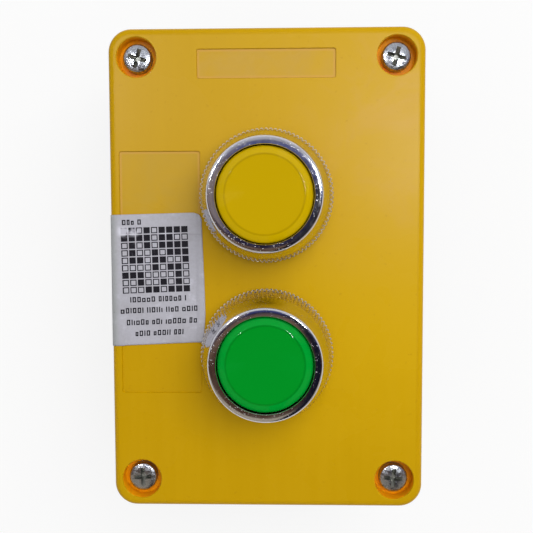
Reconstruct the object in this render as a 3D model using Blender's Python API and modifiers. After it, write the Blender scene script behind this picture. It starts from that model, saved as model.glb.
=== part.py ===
"""Pushbutton station: a yellow two-hole enclosure with a yellow and a green push button.

The box lies on its back. The origin is the centre of the back face, +Z points out of the
front face and +Y towards the end that has the nameplate recess. Lengths are in metres.
"""
import math

import bmesh
import bpy

MM = 0.001

# Clearances
SEAT_GAP = 0.2 * MM             # between faces that rest on each other
SIDE_GAP = 0.3 * MM             # around a piece that fits in or slides past another
THREAD_GAP = 0.25 * MM          # around a screw's shank
CUT_MARGIN = 1.0 * MM           # how far a cutter runs past the face that it opens

# Enclosure
BOX_WIDTH = 69.0 * MM
BOX_HEIGHT = 105.7 * MM
BASE_DEPTH = 32.0 * MM          # back face to the base's rim
LID_DEPTH = 19.0 * MM           # lid's lower edge to its face
CORNER_RADIUS = 5.0 * MM
SIDE_WALL = 2.5 * MM
INNER_CORNER_LEAST = 0.5 * MM   # of the space inside, behind a thick wall
FLOOR_THICKNESS = 2.5 * MM
PANEL_THICKNESS = 2.6 * MM
BASE_EDGE_RADIUS = 1.2 * MM
LID_EDGE_RADIUS = 1.4 * MM
BASE_DRAFT = 0.4 * MM           # how much each side closes in towards the back
LID_DRAFT = 0.2 * MM            # how much each side closes in towards the face
GASKET_THICKNESS = 0.6 * MM
GASKET_INSET = 0.4 * MM
TONGUE_HEIGHT = 2.2 * MM        # of the base's upstand, above its rim
TONGUE_THICKNESS = 0.9 * MM

# Shallow recesses in the lid's face
TOP_RECESS_WIDTH = 29.8 * MM
TOP_RECESS_HEIGHT = 6.1 * MM
TOP_RECESS_INSET = 7.9 * MM     # the box's end to the recess's middle
SIDE_RECESS_WIDTH = 17.5 * MM
SIDE_RECESS_HEIGHT = 53.0 * MM
SIDE_RECESS_INSET = 11.2 * MM   # the box's side to the recess's middle
SIDE_RECESS_MIDDLE_Y = -0.3 * MM
RECESS_DEPTH = 0.3 * MM

# Lid screws and the pillars that take them
LID_SCREW_INSET = 6.4 * MM      # from both sides of the box
LID_SCREW_DIAMETER = 3.0 * MM
LID_SCREW_LENGTH = 25.0 * MM
LID_SCREW_HEAD_DIAMETER = 6.1 * MM
LID_SCREW_HEAD_HEIGHT = 2.3 * MM
LID_SCREW_TURNS = (0.30, 0.26, 0.05, -0.08)     # where each one stopped, in radians
PAN_HEAD_ROUND = 0.6            # share of a pan head's radius that rounds over
COUNTERBORE_DIAMETER = 8.6 * MM
COUNTERBORE_DEPTH = 3.6 * MM
COUNTERBORE_WALL = 1.5 * MM
BASE_PILLAR_DIAMETER = 8.4 * MM
SCREW_TIP_ROOM = 1.0 * MM
CROSS_SPAN = 4.3 * MM
CROSS_DEPTH = 1.3 * MM
SLOT_WIDTH = 0.9 * MM           # of every driver slot
SLOT_DEPTH = 0.8 * MM           # in the small screws

# Back fixing slots and cable knock-outs in the base
FIXING_PITCH_X = 53.0 * MM
FIXING_PITCH_Y = 68.0 * MM
FIXING_SLOT_WIDTH = 4.6 * MM
FIXING_SLOT_LENGTH = 8.0 * MM
FIXING_BOSS_WALL = 2.2 * MM
FIXING_BOSS_HEIGHT = 2.0 * MM
KNOCKOUT_DIAMETER = 20.5 * MM
KNOCKOUT_HEIGHT = 17.5 * MM     # back face to the knock-out's centre
KNOCKOUT_GROOVE = 1.0 * MM
KNOCKOUT_WEB = 0.7 * MM

# Mounting collar behind the panel
COLLAR_WIDTH = 31.0 * MM
COLLAR_LENGTH = 33.0 * MM
COLLAR_CORNER = 4.0 * MM
INNER_SPACING = 1.7 * MM        # between the inner pieces of the two buttons
COLLAR_SCREW_INSET = 3.2 * MM
COLLAR_SCREW_DIAMETER = 3.0 * MM

# Push buttons: their places on the lid
BUTTON_MIDDLE_Y = -0.75 * MM
BUTTON_TRAVEL = 4.3 * MM
PANEL_HOLE_DIAMETER = 22.4 * MM

# Bezel, in heights above the lid's face
BARREL_DIAMETER = 21.8 * MM
BARREL_SKIRT = 0.9 * MM         # how far the barrel reaches past the actuator
FLANGE_DIAMETER = 29.0 * MM
FLANGE_TOP_DIAMETER = 27.2 * MM
FLANGE_BOTTOM = 0.2 * MM
KNURL_BOTTOM = 1.0 * MM
KNURL_TOP = 7.5 * MM
KNURL_DEPTH = 0.4 * MM
KNURL_TEETH = 90
CONE_FOOT_DIAMETER = 26.5 * MM
CONE_FOOT_HEIGHT = 7.7 * MM
RING_DIAMETER = 23.8 * MM
RING_SHOULDER = 13.6 * MM       # height where the ring's lip starts to round over
RING_HEIGHT = 14.3 * MM
RING_LIP_WIDTH = 1.45 * MM
RING_LIP_ROUND = 0.6 * MM       # width of the lip's rounded outer edge
RING_INNER_SLOPE = 0.3 * MM     # drop of the sloping face inside the lip
SEAL_SHELF = 1.5 * MM
RIM_SETBACK = 0.25 * MM         # of the plain rim below the knurl, from the knurl's grooves
RECESS_RIM = 0.6 * MM           # width of that rim, round the gasket's recess
WEB_THICKNESS = 1.5 * MM
KEY_WIDTH = 3.0 * MM
KEY_REACH = 1.1 * MM            # of the key past the barrel

# Panel gasket and plunger seal
PANEL_GASKET_THICKNESS = 0.5 * MM
PANEL_GASKET_MARGIN = 0.6 * MM  # between the panel hole and the gasket
SEAL_THICKNESS = 0.8 * MM

# Cap, plunger and actuator
CAP_DIAMETER = 19.9 * MM
CAP_HEIGHT = 14.0 * MM          # lid's face to the cap's raised rim
CAP_GAP = 0.35 * MM             # cap to the bezel's bore
CAP_DISH_DIAMETER = 16.2 * MM
CAP_DISH_DEPTH = 0.3 * MM
CAP_DISH_SLOPE = 0.4 * MM       # width of the dish's sloping side
CAP_EDGE_WIDTH = 1.8 * MM       # of the cap's rounded outer edge
CAP_EDGE_HEIGHT = 1.1 * MM
CAP_THICKNESS = 1.5 * MM
CAP_SKIRT = 1.4 * MM
CAP_BOSS_WALL = 1.5 * MM
NECK_DIAMETER = 10.0 * MM
NECK_CHAMFER = 0.5 * MM
PLUNGER_FLANGE_DIAMETER = 14.4 * MM
PLUNGER_FLANGE_TOP = 3.6 * MM
PLUNGER_FLANGE_THICKNESS = 1.2 * MM
PLUNGER_FLANGE_GAP = 0.4 * MM   # between the flange and its bore
PLUNGER_STEM_DIAMETER = 8.4 * MM
PLUNGER_TAIL_DIAMETER = 6.0 * MM
ACTUATOR_DIAMETER = 16.4 * MM
ACTUATOR_THICKNESS = 1.7 * MM

# Return spring, round the plunger's stem
RETURN_SPRING_LENGTH = 9.5 * MM
RETURN_SPRING_DIAMETER = 12.6 * MM
RETURN_SPRING_WIRE = 0.8 * MM
RETURN_SPRING_TURNS = 3.5
SPRING_FLAT_TURN = 0.25         # part of a turn that lies flat at each end

# Contact block
BLOCK_WIDTH = 10.4 * MM
BLOCK_LENGTH = 30.0 * MM
BLOCK_HEIGHT = 21.7 * MM
BLOCK_WALL = 1.5 * MM
BLOCK_SIDE_SHIFT = 0.4 * MM     # the block's inner side to the button's axis
CONTACT_ROOM_LENGTH = 16.0 * MM
PARTITION = 1.2 * MM
COVER_THICKNESS = 1.0 * MM
COVER_LAP = 0.8 * MM
EAR_LENGTH = 7.8 * MM
EAR_WIDTH = 5.6 * MM
EAR_THICKNESS = 3.0 * MM
EAR_SCREW_REACH = 5.0 * MM      # the block's side to the fixing screw
EAR_END_INSET = 1.8 * MM        # the block's end to the fixing screw
FIXING_SCREW_DIAMETER = 3.0 * MM
FIXING_SCREW_LENGTH = 11.0 * MM
FIXING_SCREW_HEAD_DIAMETER = 5.2 * MM
FIXING_SCREW_HEAD_HEIGHT = 1.8 * MM

# Contact mechanism
PUSHER_WIDTH = 4.6 * MM
PUSHER_LENGTH = 5.4 * MM
PUSHER_FOOT = 4.7 * MM          # the bridge's underside to the pusher's foot
BRIDGE_DROP = 5.1 * MM          # the room's ceiling to the bridge
BRIDGE_LENGTH = 14.6 * MM
BRIDGE_WIDTH = 2.4 * MM
BRIDGE_THICKNESS = 0.8 * MM
CONTACT_TIP_DIAMETER = 2.2 * MM
CONTACT_TIP_HEIGHT = 0.4 * MM
CONTACT_TIP_INSET = 1.3 * MM    # the bridge's end to its contact tip
CONTACT_SPRING_DIAMETER = 3.8 * MM
CONTACT_SPRING_WIRE = 0.45 * MM
CONTACT_SPRING_TURNS = 4.0

# Terminals
STRIP_WIDTH = 5.2 * MM
STRIP_THICKNESS = 0.8 * MM
STRIP_INNER_END = 4.4 * MM      # the block's middle to the strip's inner end
STRIP_OUTER_INSET = 0.6 * MM    # the block's end to the strip's outer end
TERMINAL_SCREW_INSET = 3.0 * MM
TERMINAL_SCREW_DIAMETER = 3.0 * MM
TERMINAL_SCREW_LENGTH = 6.0 * MM
TERMINAL_SCREW_HEAD_DIAMETER = 5.0 * MM
TERMINAL_SCREW_HEAD_HEIGHT = 1.8 * MM
TERMINAL_CLAMP_SIZE = 5.0 * MM
TERMINAL_CLAMP_THICKNESS = 0.8 * MM
TERMINAL_HEADROOM = 1.0 * MM

# Facets
ROUND_STEPS = 28
RING_STEPS = 18
HOLE_STEPS = 12
SMALL_STEPS = 8
CORNER_STEPS = 4
EDGE_STEPS = 2
PAN_HEAD_STEPS = 2
LIP_STEPS = 3
SLOT_ROUNDING = 0.49            # share of a slot's width that its corners take
COIL_STEPS = 8
SMALL_COIL_STEPS = 6
SHARP_ANGLE = math.radians(35.0)

# Heights in the box, from the back face
BASE_RIM = BASE_DEPTH
TONGUE_TOP = BASE_RIM + TONGUE_HEIGHT
LID_BOTTOM = BASE_RIM + GASKET_THICKNESS + 2.0 * SEAT_GAP
FACE_Z = LID_BOTTOM + LID_DEPTH
PANEL_UNDERSIDE = FACE_Z - PANEL_THICKNESS
PILLAR_SPLIT = TONGUE_TOP + SIDE_GAP
COUNTERBORE_FLOOR = FACE_Z - COUNTERBORE_DEPTH
LID_SCREW_SEAT = COUNTERBORE_FLOOR + SEAT_GAP

# Heights in a button, from the lid's face
RECESS_CEILING = PANEL_GASKET_THICKNESS + 2.0 * SEAT_GAP
SEAL_BOTTOM = SEAL_SHELF + SEAT_GAP
SEAL_TOP = SEAL_BOTTOM + SEAL_THICKNESS
CAP_SKIRT_BOTTOM = SEAL_TOP + SIDE_GAP + BUTTON_TRAVEL
CAP_CEILING = CAP_HEIGHT - CAP_DISH_DEPTH - CAP_THICKNESS
PLUNGER_FLANGE_BOTTOM = PLUNGER_FLANGE_TOP - PLUNGER_FLANGE_THICKNESS
WEB_TOP = PLUNGER_FLANGE_BOTTOM - RETURN_SPRING_LENGTH - 2.0 * SEAT_GAP
WEB_BOTTOM = WEB_TOP - WEB_THICKNESS
ACTUATOR_TOP = WEB_BOTTOM - SIDE_GAP
ACTUATOR_BOTTOM = ACTUATOR_TOP - ACTUATOR_THICKNESS
BARREL_BOTTOM = ACTUATOR_BOTTOM - BARREL_SKIRT
PUSHER_TOP = ACTUATOR_BOTTOM - SIDE_GAP
BLOCK_TOP = PUSHER_TOP - BUTTON_TRAVEL - SIDE_GAP
BLOCK_BOTTOM = BLOCK_TOP - BLOCK_HEIGHT
COLLAR_TOP = -PANEL_THICKNESS - SIDE_GAP
COLLAR_BOTTOM = BLOCK_TOP + SIDE_GAP
COLLAR_LEDGE = BARREL_BOTTOM - SIDE_GAP

# Heights in the contact block, from the lid's face
ROOM_CEILING = BLOCK_TOP - BLOCK_WALL
ROOM_FLOOR = BLOCK_BOTTOM + BLOCK_WALL
BRIDGE_TOP = ROOM_CEILING - BRIDGE_DROP
BRIDGE_BOTTOM = BRIDGE_TOP - BRIDGE_THICKNESS
PUSHER_BOTTOM = BRIDGE_BOTTOM - PUSHER_FOOT
STRIP_TIP_TOP = BRIDGE_BOTTOM - CONTACT_TIP_HEIGHT - BUTTON_TRAVEL - SIDE_GAP
STRIP_TOP = STRIP_TIP_TOP - CONTACT_TIP_HEIGHT
STRIP_BOTTOM = STRIP_TOP - STRIP_THICKNESS
CLAMP_TOP = STRIP_BOTTOM - SEAT_GAP
CLAMP_BOTTOM = CLAMP_TOP - TERMINAL_CLAMP_THICKNESS
TERMINAL_SCREW_SEAT = CLAMP_BOTTOM - SEAT_GAP
POCKET_CEILING = TERMINAL_SCREW_SEAT + TERMINAL_SCREW_LENGTH + TERMINAL_HEADROOM
EAR_BOTTOM = BLOCK_TOP - EAR_THICKNESS
FIXING_SCREW_SEAT = EAR_BOTTOM - SEAT_GAP

# Radii that neighbouring pieces share
CAP_BORE_RADIUS = CAP_DIAMETER / 2.0 + CAP_GAP
PLUNGER_BORE_RADIUS = PLUNGER_FLANGE_DIAMETER / 2.0 + PLUNGER_FLANGE_GAP
ACTUATOR_BORE_RADIUS = ACTUATOR_DIAMETER / 2.0 + SIDE_GAP
COLLAR_BORE_RADIUS = BARREL_DIAMETER / 2.0 + SIDE_GAP
RIM_RADIUS = FLANGE_DIAMETER / 2.0 - KNURL_DEPTH - RIM_SETBACK
GASKET_RECESS_RADIUS = RIM_RADIUS - RECESS_RIM

# Distance between the two buttons: their longest inner pieces stand side by side
BUTTON_PITCH = max(COLLAR_LENGTH, BLOCK_LENGTH) + INNER_SPACING

# Places across a contact block, from the button's axis
BLOCK_X = -(BLOCK_WIDTH / 2.0 + BLOCK_SIDE_SHIFT)
BLOCK_SIDE_X = -BLOCK_SIDE_SHIFT
ROOM_HALF = CONTACT_ROOM_LENGTH / 2.0
POCKET_INNER_Y = ROOM_HALF + PARTITION
TERMINAL_SCREW_Y = BLOCK_LENGTH / 2.0 - TERMINAL_SCREW_INSET
CONTACT_TIP_Y = BRIDGE_LENGTH / 2.0 - CONTACT_TIP_INSET
FIXING_SCREW_X = BLOCK_SIDE_X + EAR_SCREW_REACH
FIXING_SCREW_Y = BLOCK_LENGTH / 2.0 - EAR_END_INSET
COLLAR_SCREW_X = COLLAR_WIDTH / 2.0 - COLLAR_SCREW_INSET
COLLAR_SCREW_Y = COLLAR_LENGTH / 2.0 - COLLAR_SCREW_INSET


def clear_scene():
    """Remove what a new file starts with."""
    for item in list(bpy.data.objects):
        bpy.data.objects.remove(item, do_unlink=True)


def new_collection(name):
    """A collection in the scene."""
    group = bpy.data.collections.new(name)
    bpy.context.scene.collection.children.link(group)
    return group


clear_scene()
PARTS = new_collection("pushbutton_station")
CUTTERS = new_collection("cutters")


def make_material(name, color, roughness, metallic=0.0):
    """A plain Principled material."""
    material = bpy.data.materials.new(name)
    material.use_nodes = True
    shader = material.node_tree.nodes["Principled BSDF"]
    shader.inputs["Base Color"].default_value = (*color, 1.0)
    shader.inputs["Roughness"].default_value = roughness
    shader.inputs["Metallic"].default_value = metallic
    material.diffuse_color = (*color, 1.0)
    return material


MATERIALS = {
    "lid_plastic": make_material("lid_plastic", (0.86, 0.46, 0.012), 0.38),
    "base_plastic": make_material("base_plastic", (0.06, 0.06, 0.065), 0.5),
    "yellow_cap": make_material("yellow_cap", (0.90, 0.66, 0.01), 0.22),
    "green_cap": make_material("green_cap", (0.01, 0.52, 0.07), 0.22),
    "chrome": make_material("chrome", (0.72, 0.72, 0.74), 0.12, 1.0),
    "zinc": make_material("zinc", (0.62, 0.62, 0.64), 0.32, 1.0),
    "brass": make_material("brass", (0.78, 0.58, 0.25), 0.35, 1.0),
    "rubber": make_material("rubber", (0.02, 0.02, 0.02), 0.7),
    "inner_plastic": make_material("inner_plastic", (0.05, 0.05, 0.055), 0.45),
    "pusher_plastic": make_material("pusher_plastic", (0.02, 0.35, 0.10), 0.4),
}


def add_part(name, mesh, material, parent=None):
    """Put a mesh in the scene as a part."""
    mesh.name = name
    item = bpy.data.objects.new(name, mesh)
    PARTS.objects.link(item)
    item.parent = parent
    mesh.materials.append(MATERIALS[material])
    return item


def as_cutter(item):
    """Hide a part and keep it as a tool that cuts or joins."""
    PARTS.objects.unlink(item)
    CUTTERS.objects.link(item)
    item.display_type = "WIRE"
    item.hide_render = True
    return item


def boolean(target, tool, operation):
    """Cut, join or intersect a target with a tool."""
    as_cutter(tool)
    step = target.modifiers.new(tool.name, "BOOLEAN")
    step.operation = operation
    step.solver = "EXACT"
    step.object = tool


def cut(target, tool):
    """Take a tool's volume out of a target."""
    boolean(target, tool, "DIFFERENCE")


def join(target, tool):
    """Add a tool's volume to a target."""
    boolean(target, tool, "UNION")


def smooth(mesh):
    """Shade round faces smooth and keep hard edges sharp."""
    mesh.shade_smooth()
    mesh.set_sharp_from_angle(angle=SHARP_ANGLE)


def finish_mesh(bm):
    """Turn a bmesh into a mesh with its faces pointing out."""
    bmesh.ops.recalc_face_normals(bm, faces=bm.faces)
    mesh = bpy.data.meshes.new("mesh")
    bm.to_mesh(mesh)
    bm.free()
    return mesh


def box_mesh(low, high):
    """A box between two corners."""
    bm = bmesh.new()
    bmesh.ops.create_cube(bm, size=1.0)
    for vert in bm.verts:
        for axis in range(3):
            vert.co[axis] = high[axis] if vert.co[axis] > 0.0 else low[axis]
    return finish_mesh(bm)


def box(name, low, high, material="inner_plastic", parent=None):
    """A box part between two corners."""
    return add_part(name, box_mesh(low, high), material, parent)


def rim_edges(bm, height):
    """The edges that lie at one height."""
    return [edge for edge in bm.edges if all(abs(vert.co.z - height) < 1e-7 for vert in edge.verts)]


def moulded_mesh(width, length, low, high, corner, low_edge=0.0, high_edge=0.0,
                 low_draft=0.0, high_draft=0.0):
    """A box with rounded upright edges, rounded rims and drafted sides."""
    bm = bmesh.new()
    bmesh.ops.create_cube(bm, size=1.0)
    for vert in bm.verts:
        draft = high_draft if vert.co.z > 0.0 else low_draft
        vert.co.x *= width - 2.0 * draft
        vert.co.y *= length - 2.0 * draft
        vert.co.z = high if vert.co.z > 0.0 else low
    upright = [edge for edge in bm.edges if abs(edge.verts[0].co.z - edge.verts[1].co.z) > 1e-7]
    if corner > 0.0:
        bmesh.ops.bevel(bm, geom=upright, offset=corner, segments=CORNER_STEPS, profile=0.5, affect="EDGES")
    for height, radius in ((low, low_edge), (high, high_edge)):
        if radius > 0.0:
            bmesh.ops.bevel(bm, geom=rim_edges(bm, height), offset=radius, segments=EDGE_STEPS,
                            profile=0.5, affect="EDGES")
    return finish_mesh(bm)


def moulded_box(name, material, *sizes, parent=None, **options):
    """A part made of one moulded block."""
    mesh = moulded_mesh(*sizes, **options)
    smooth(mesh)
    return add_part(name, mesh, material, parent)


def cylinder(name, radius, low, high, centre=(0.0, 0.0), steps=ROUND_STEPS, material="inner_plastic",
             parent=None):
    """An upright cylinder between two heights."""
    bm = bmesh.new()
    bmesh.ops.create_cone(bm, cap_ends=True, segments=steps, radius1=radius, radius2=radius, depth=high - low)
    bmesh.ops.translate(bm, vec=(centre[0], centre[1], (low + high) / 2.0), verts=bm.verts)
    mesh = finish_mesh(bm)
    smooth(mesh)
    return add_part(name, mesh, material, parent)


def turned(name, material, profile, steps=ROUND_STEPS, ring=False, parent=None):
    """A turned part. The profile holds (radius, height) pairs and runs down its outer side."""
    mesh = bpy.data.meshes.new(name)
    verts = [(radius, 0.0, height) for radius, height in profile]
    edges = [(index, index + 1) for index in range(len(profile) - 1)]
    if ring:
        edges.append((len(profile) - 1, 0))
    mesh.from_pydata(verts, edges, [])
    item = add_part(name, mesh, material, parent)
    spin = item.modifiers.new("spin", "SCREW")
    spin.axis = "Z"
    spin.angle = math.tau
    spin.steps = steps
    spin.render_steps = steps
    spin.use_merge_vertices = True
    spin.merge_threshold = 1e-5
    spin.use_smooth_shade = True
    return item


def tube(name, material, inner, outer, low, high, steps=ROUND_STEPS, parent=None):
    """A flat ring or tube."""
    profile = [(outer, high), (outer, low), (inner, low), (inner, high)]
    return turned(name, material, profile, steps=steps, ring=True, parent=parent)


def coil(name, material, mean_radius, wire, low, high, turns, steps, parent, centre_x=0.0):
    """A compression spring whose ends lie flat for a quarter turn."""
    bottom = low + wire / 2.0
    rise = high - low - wire
    count = round(turns * steps)
    curve = bpy.data.curves.new(name, "CURVE")
    curve.dimensions = "3D"
    curve.bevel_depth = wire / 2.0
    curve.bevel_resolution = 2
    curve.use_fill_caps = True
    spline = curve.splines.new("POLY")
    spline.points.add(count)
    for index in range(count + 1):
        turn = turns * index / count
        climb = min(max((turn - SPRING_FLAT_TURN) / (turns - 2.0 * SPRING_FLAT_TURN), 0.0), 1.0)
        angle = math.tau * turn
        spline.points[index].co = (centre_x + mean_radius * math.cos(angle), mean_radius * math.sin(angle),
                                   bottom + rise * climb, 1.0)
    curve.materials.append(MATERIALS[material])
    item = bpy.data.objects.new(name, curve)
    PARTS.objects.link(item)
    item.parent = parent
    return item


def rounded_edge(outer, top, width, height, steps=EDGE_STEPS):
    """The outline of an edge that rounds over, from the flat top out and down."""
    points = []
    for step in range(steps + 1):
        angle = step / steps * math.pi / 2.0
        points.append((outer - width * (1.0 - math.sin(angle)), top - height * (1.0 - math.cos(angle))))
    return points


def pan_head(head, height):
    """The outline of a domed screw head, from its top down."""
    return [(0.0, height)] + rounded_edge(head, height, PAN_HEAD_ROUND * head, height, PAN_HEAD_STEPS)


def cheese_head(head, height):
    """The outline of a flat-topped screw head, from its top down."""
    return [(0.0, height), (0.85 * head, height), (head, 0.8 * height), (head, 0.0)]


def screw(name, head_profile, diameter, length, steps, place, turn=0.0, parent=None):
    """A screw with its head up. Its place is where the head's underside seats."""
    shank = diameter / 2.0
    tip = [(shank, 0.0), (shank, -length + 0.5 * shank), (0.6 * shank, -length), (0.0, -length)]
    item = turned(name, "zinc", head_profile + tip, steps=steps, parent=parent)
    item.location = place
    item.rotation_euler.z = turn
    return item


def cut_slot(item, span, depth, top, turn=0.0):
    """Cut one straight driver slot down into a screw's top."""
    half_width = SLOT_WIDTH / 2.0
    slot = box(f"{item.name}_slot", (-span / 2.0, -half_width, top - depth),
               (span / 2.0, half_width, top + CUT_MARGIN), parent=item)
    slot.rotation_euler.z = turn
    cut(item, slot)


def slotted_screw(name, head_diameter, head_height, diameter, length, place, parent):
    """A small slotted screw whose head faces the back of the box."""
    head_profile = cheese_head(head_diameter / 2.0, head_height)
    item = screw(name, head_profile, diameter, length, SMALL_STEPS, place, parent=parent)
    item.rotation_euler.x = math.pi
    cut_slot(item, head_diameter + CUT_MARGIN, SLOT_DEPTH, head_height)


def corners(half_x, half_y):
    """The four corners of a rectangle round the origin, from the top left."""
    return [(-half_x, half_y), (half_x, half_y), (-half_x, -half_y), (half_x, -half_y)]


LID_SCREW_PLACES = corners(BOX_WIDTH / 2.0 - LID_SCREW_INSET, BOX_HEIGHT / 2.0 - LID_SCREW_INSET)
FIXING_PLACES = corners(FIXING_PITCH_X / 2.0, FIXING_PITCH_Y / 2.0)
INNER_CORNER = max(CORNER_RADIUS - SIDE_WALL, INNER_CORNER_LEAST)


def hollow(name, low, high, pillars):
    """The space inside a shell, with pillars left standing in it."""
    space = moulded_box(name, "inner_plastic", BOX_WIDTH - 2.0 * SIDE_WALL, BOX_HEIGHT - 2.0 * SIDE_WALL,
                        low, high, INNER_CORNER)
    for number, (place, radius, bottom, top) in enumerate(pillars, 1):
        pillar = cylinder(f"{name}_pillar_{number}", radius, bottom, top, place, HOLE_STEPS)
        cut(space, pillar)
    return space


def slot_tool(name, place, margin, low, high):
    """A round-ended block at a fixing slot, with a margin round the slot."""
    width = FIXING_SLOT_WIDTH + 2.0 * margin
    item = moulded_box(name, "base_plastic", width, FIXING_SLOT_LENGTH + 2.0 * margin, low, high,
                       SLOT_ROUNDING * width)
    item.location = (*place, 0.0)
    return item


def make_base():
    """The back shell with its tongue, screw pillars, fixing slots and cable knock-outs."""
    base = moulded_box("base", "base_plastic", BOX_WIDTH, BOX_HEIGHT, 0.0, BASE_RIM, CORNER_RADIUS,
                       low_edge=BASE_EDGE_RADIUS, low_draft=BASE_DRAFT)
    grow = 2.0 * TONGUE_THICKNESS
    tongue = moulded_box("base_tongue", "base_plastic", BOX_WIDTH - 2.0 * SIDE_WALL + grow,
                         BOX_HEIGHT - 2.0 * SIDE_WALL + grow, BASE_RIM - SIDE_WALL, TONGUE_TOP,
                         INNER_CORNER + TONGUE_THICKNESS)
    join(base, tongue)
    pillars = [(place, BASE_PILLAR_DIAMETER / 2.0, 0.0, TONGUE_TOP) for place in LID_SCREW_PLACES]
    cut(base, hollow("base_hollow", FLOOR_THICKNESS, TONGUE_TOP + CUT_MARGIN, pillars))
    for number, place in enumerate(LID_SCREW_PLACES, 1):
        radius = LID_SCREW_DIAMETER / 2.0 + THREAD_GAP
        tip = LID_SCREW_SEAT - LID_SCREW_LENGTH - SCREW_TIP_ROOM
        cut(base, cylinder(f"base_pilot_{number}", radius, tip, TONGUE_TOP + CUT_MARGIN, place, SMALL_STEPS))
    boss_top = FLOOR_THICKNESS + FIXING_BOSS_HEIGHT
    for number, place in enumerate(FIXING_PLACES, 1):
        join(base, slot_tool(f"base_fixing_boss_{number}", place, FIXING_BOSS_WALL,
                             FLOOR_THICKNESS / 2.0, boss_top))
        cut(base, slot_tool(f"base_fixing_slot_{number}", place, 0.0, -CUT_MARGIN, boss_top + CUT_MARGIN))
    for number, side in enumerate((1.0, -1.0), 1):
        groove = tube(f"base_knockout_{number}", "base_plastic", KNOCKOUT_DIAMETER / 2.0 - KNOCKOUT_GROOVE,
                      KNOCKOUT_DIAMETER / 2.0, KNOCKOUT_WEB - SIDE_WALL, CUT_MARGIN, steps=RING_STEPS)
        groove.location = (0.0, side * BOX_HEIGHT / 2.0, KNOCKOUT_HEIGHT)
        groove.rotation_euler.x = -side * math.pi / 2.0
        cut(base, groove)
    return base


def make_lid_gasket():
    """The flat rubber ring between the two shells, round the base's tongue."""
    low = BASE_RIM + SEAT_GAP
    high = low + GASKET_THICKNESS
    ring = moulded_box("lid_gasket", "rubber", BOX_WIDTH - 2.0 * GASKET_INSET,
                       BOX_HEIGHT - 2.0 * GASKET_INSET, low, high, CORNER_RADIUS - GASKET_INSET)
    grow = 2.0 * (TONGUE_THICKNESS + SEAT_GAP)
    middle = moulded_box("lid_gasket_middle", "rubber", BOX_WIDTH - 2.0 * SIDE_WALL + grow,
                         BOX_HEIGHT - 2.0 * SIDE_WALL + grow, low - CUT_MARGIN, high + CUT_MARGIN,
                         INNER_CORNER + TONGUE_THICKNESS + SEAT_GAP)
    cut(ring, middle)
    return ring


def cut_recess(lid, name, width, height, centre):
    """Sink a shallow rectangle into the lid's face."""
    low = (centre[0] - width / 2.0, centre[1] - height / 2.0, FACE_Z - RECESS_DEPTH)
    high = (centre[0] + width / 2.0, centre[1] + height / 2.0, FACE_Z + CUT_MARGIN)
    cut(lid, box(name, low, high))


def make_lid():
    """The front shell with its counterbores, panel holes and nameplate recesses."""
    lid = moulded_box("lid", "lid_plastic", BOX_WIDTH, BOX_HEIGHT, LID_BOTTOM, FACE_Z, CORNER_RADIUS,
                      high_edge=LID_EDGE_RADIUS, high_draft=LID_DRAFT)
    pillar_radius = COUNTERBORE_DIAMETER / 2.0 + COUNTERBORE_WALL
    pillars = [(place, pillar_radius, PILLAR_SPLIT, FACE_Z) for place in LID_SCREW_PLACES]
    cut(lid, hollow("lid_hollow", LID_BOTTOM - CUT_MARGIN, PANEL_UNDERSIDE, pillars))
    grow = 2.0 * (TONGUE_THICKNESS + SIDE_GAP)
    rebate = moulded_box("lid_rebate", "lid_plastic", BOX_WIDTH - 2.0 * SIDE_WALL + grow,
                         BOX_HEIGHT - 2.0 * SIDE_WALL + grow, LID_BOTTOM - CUT_MARGIN, PILLAR_SPLIT,
                         INNER_CORNER + TONGUE_THICKNESS + SIDE_GAP)
    cut(lid, rebate)
    for number, place in enumerate(LID_SCREW_PLACES, 1):
        cut(lid, cylinder(f"lid_counterbore_{number}", COUNTERBORE_DIAMETER / 2.0, COUNTERBORE_FLOOR,
                          FACE_Z + CUT_MARGIN, place, RING_STEPS))
        radius = LID_SCREW_DIAMETER / 2.0 + SIDE_GAP
        cut(lid, cylinder(f"lid_screw_hole_{number}", radius, PILLAR_SPLIT - CUT_MARGIN,
                          COUNTERBORE_FLOOR + CUT_MARGIN, place, SMALL_STEPS))
    for color, button_y in BUTTONS:
        cut(lid, cylinder(f"lid_{color}_hole", PANEL_HOLE_DIAMETER / 2.0, PANEL_UNDERSIDE - CUT_MARGIN,
                          FACE_Z + CUT_MARGIN, (0.0, button_y)))
        half = KEY_WIDTH / 2.0 + SIDE_GAP
        reach = button_y + BARREL_DIAMETER / 2.0 + KEY_REACH + SIDE_GAP
        cut(lid, box(f"lid_{color}_notch", (-half, button_y, PANEL_UNDERSIDE - CUT_MARGIN),
                     (half, reach, FACE_Z + CUT_MARGIN)))
    cut_recess(lid, "lid_top_recess", TOP_RECESS_WIDTH, TOP_RECESS_HEIGHT,
               (0.0, BOX_HEIGHT / 2.0 - TOP_RECESS_INSET))
    cut_recess(lid, "lid_side_recess", SIDE_RECESS_WIDTH, SIDE_RECESS_HEIGHT,
               (SIDE_RECESS_INSET - BOX_WIDTH / 2.0, SIDE_RECESS_MIDDLE_Y))
    return lid


def make_lid_screws():
    """The four screws that hold the lid, each stopped at its own angle."""
    head_profile = pan_head(LID_SCREW_HEAD_DIAMETER / 2.0, LID_SCREW_HEAD_HEIGHT)
    for number, (place, turn) in enumerate(zip(LID_SCREW_PLACES, LID_SCREW_TURNS), 1):
        item = screw(f"lid_screw_{number}", head_profile, LID_SCREW_DIAMETER, LID_SCREW_LENGTH, HOLE_STEPS,
                     (*place, LID_SCREW_SEAT), turn)
        cut_slot(item, CROSS_SPAN, CROSS_DEPTH, LID_SCREW_HEAD_HEIGHT)
        cut_slot(item, CROSS_SPAN, CROSS_DEPTH, LID_SCREW_HEAD_HEIGHT, math.pi / 2.0)


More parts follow.
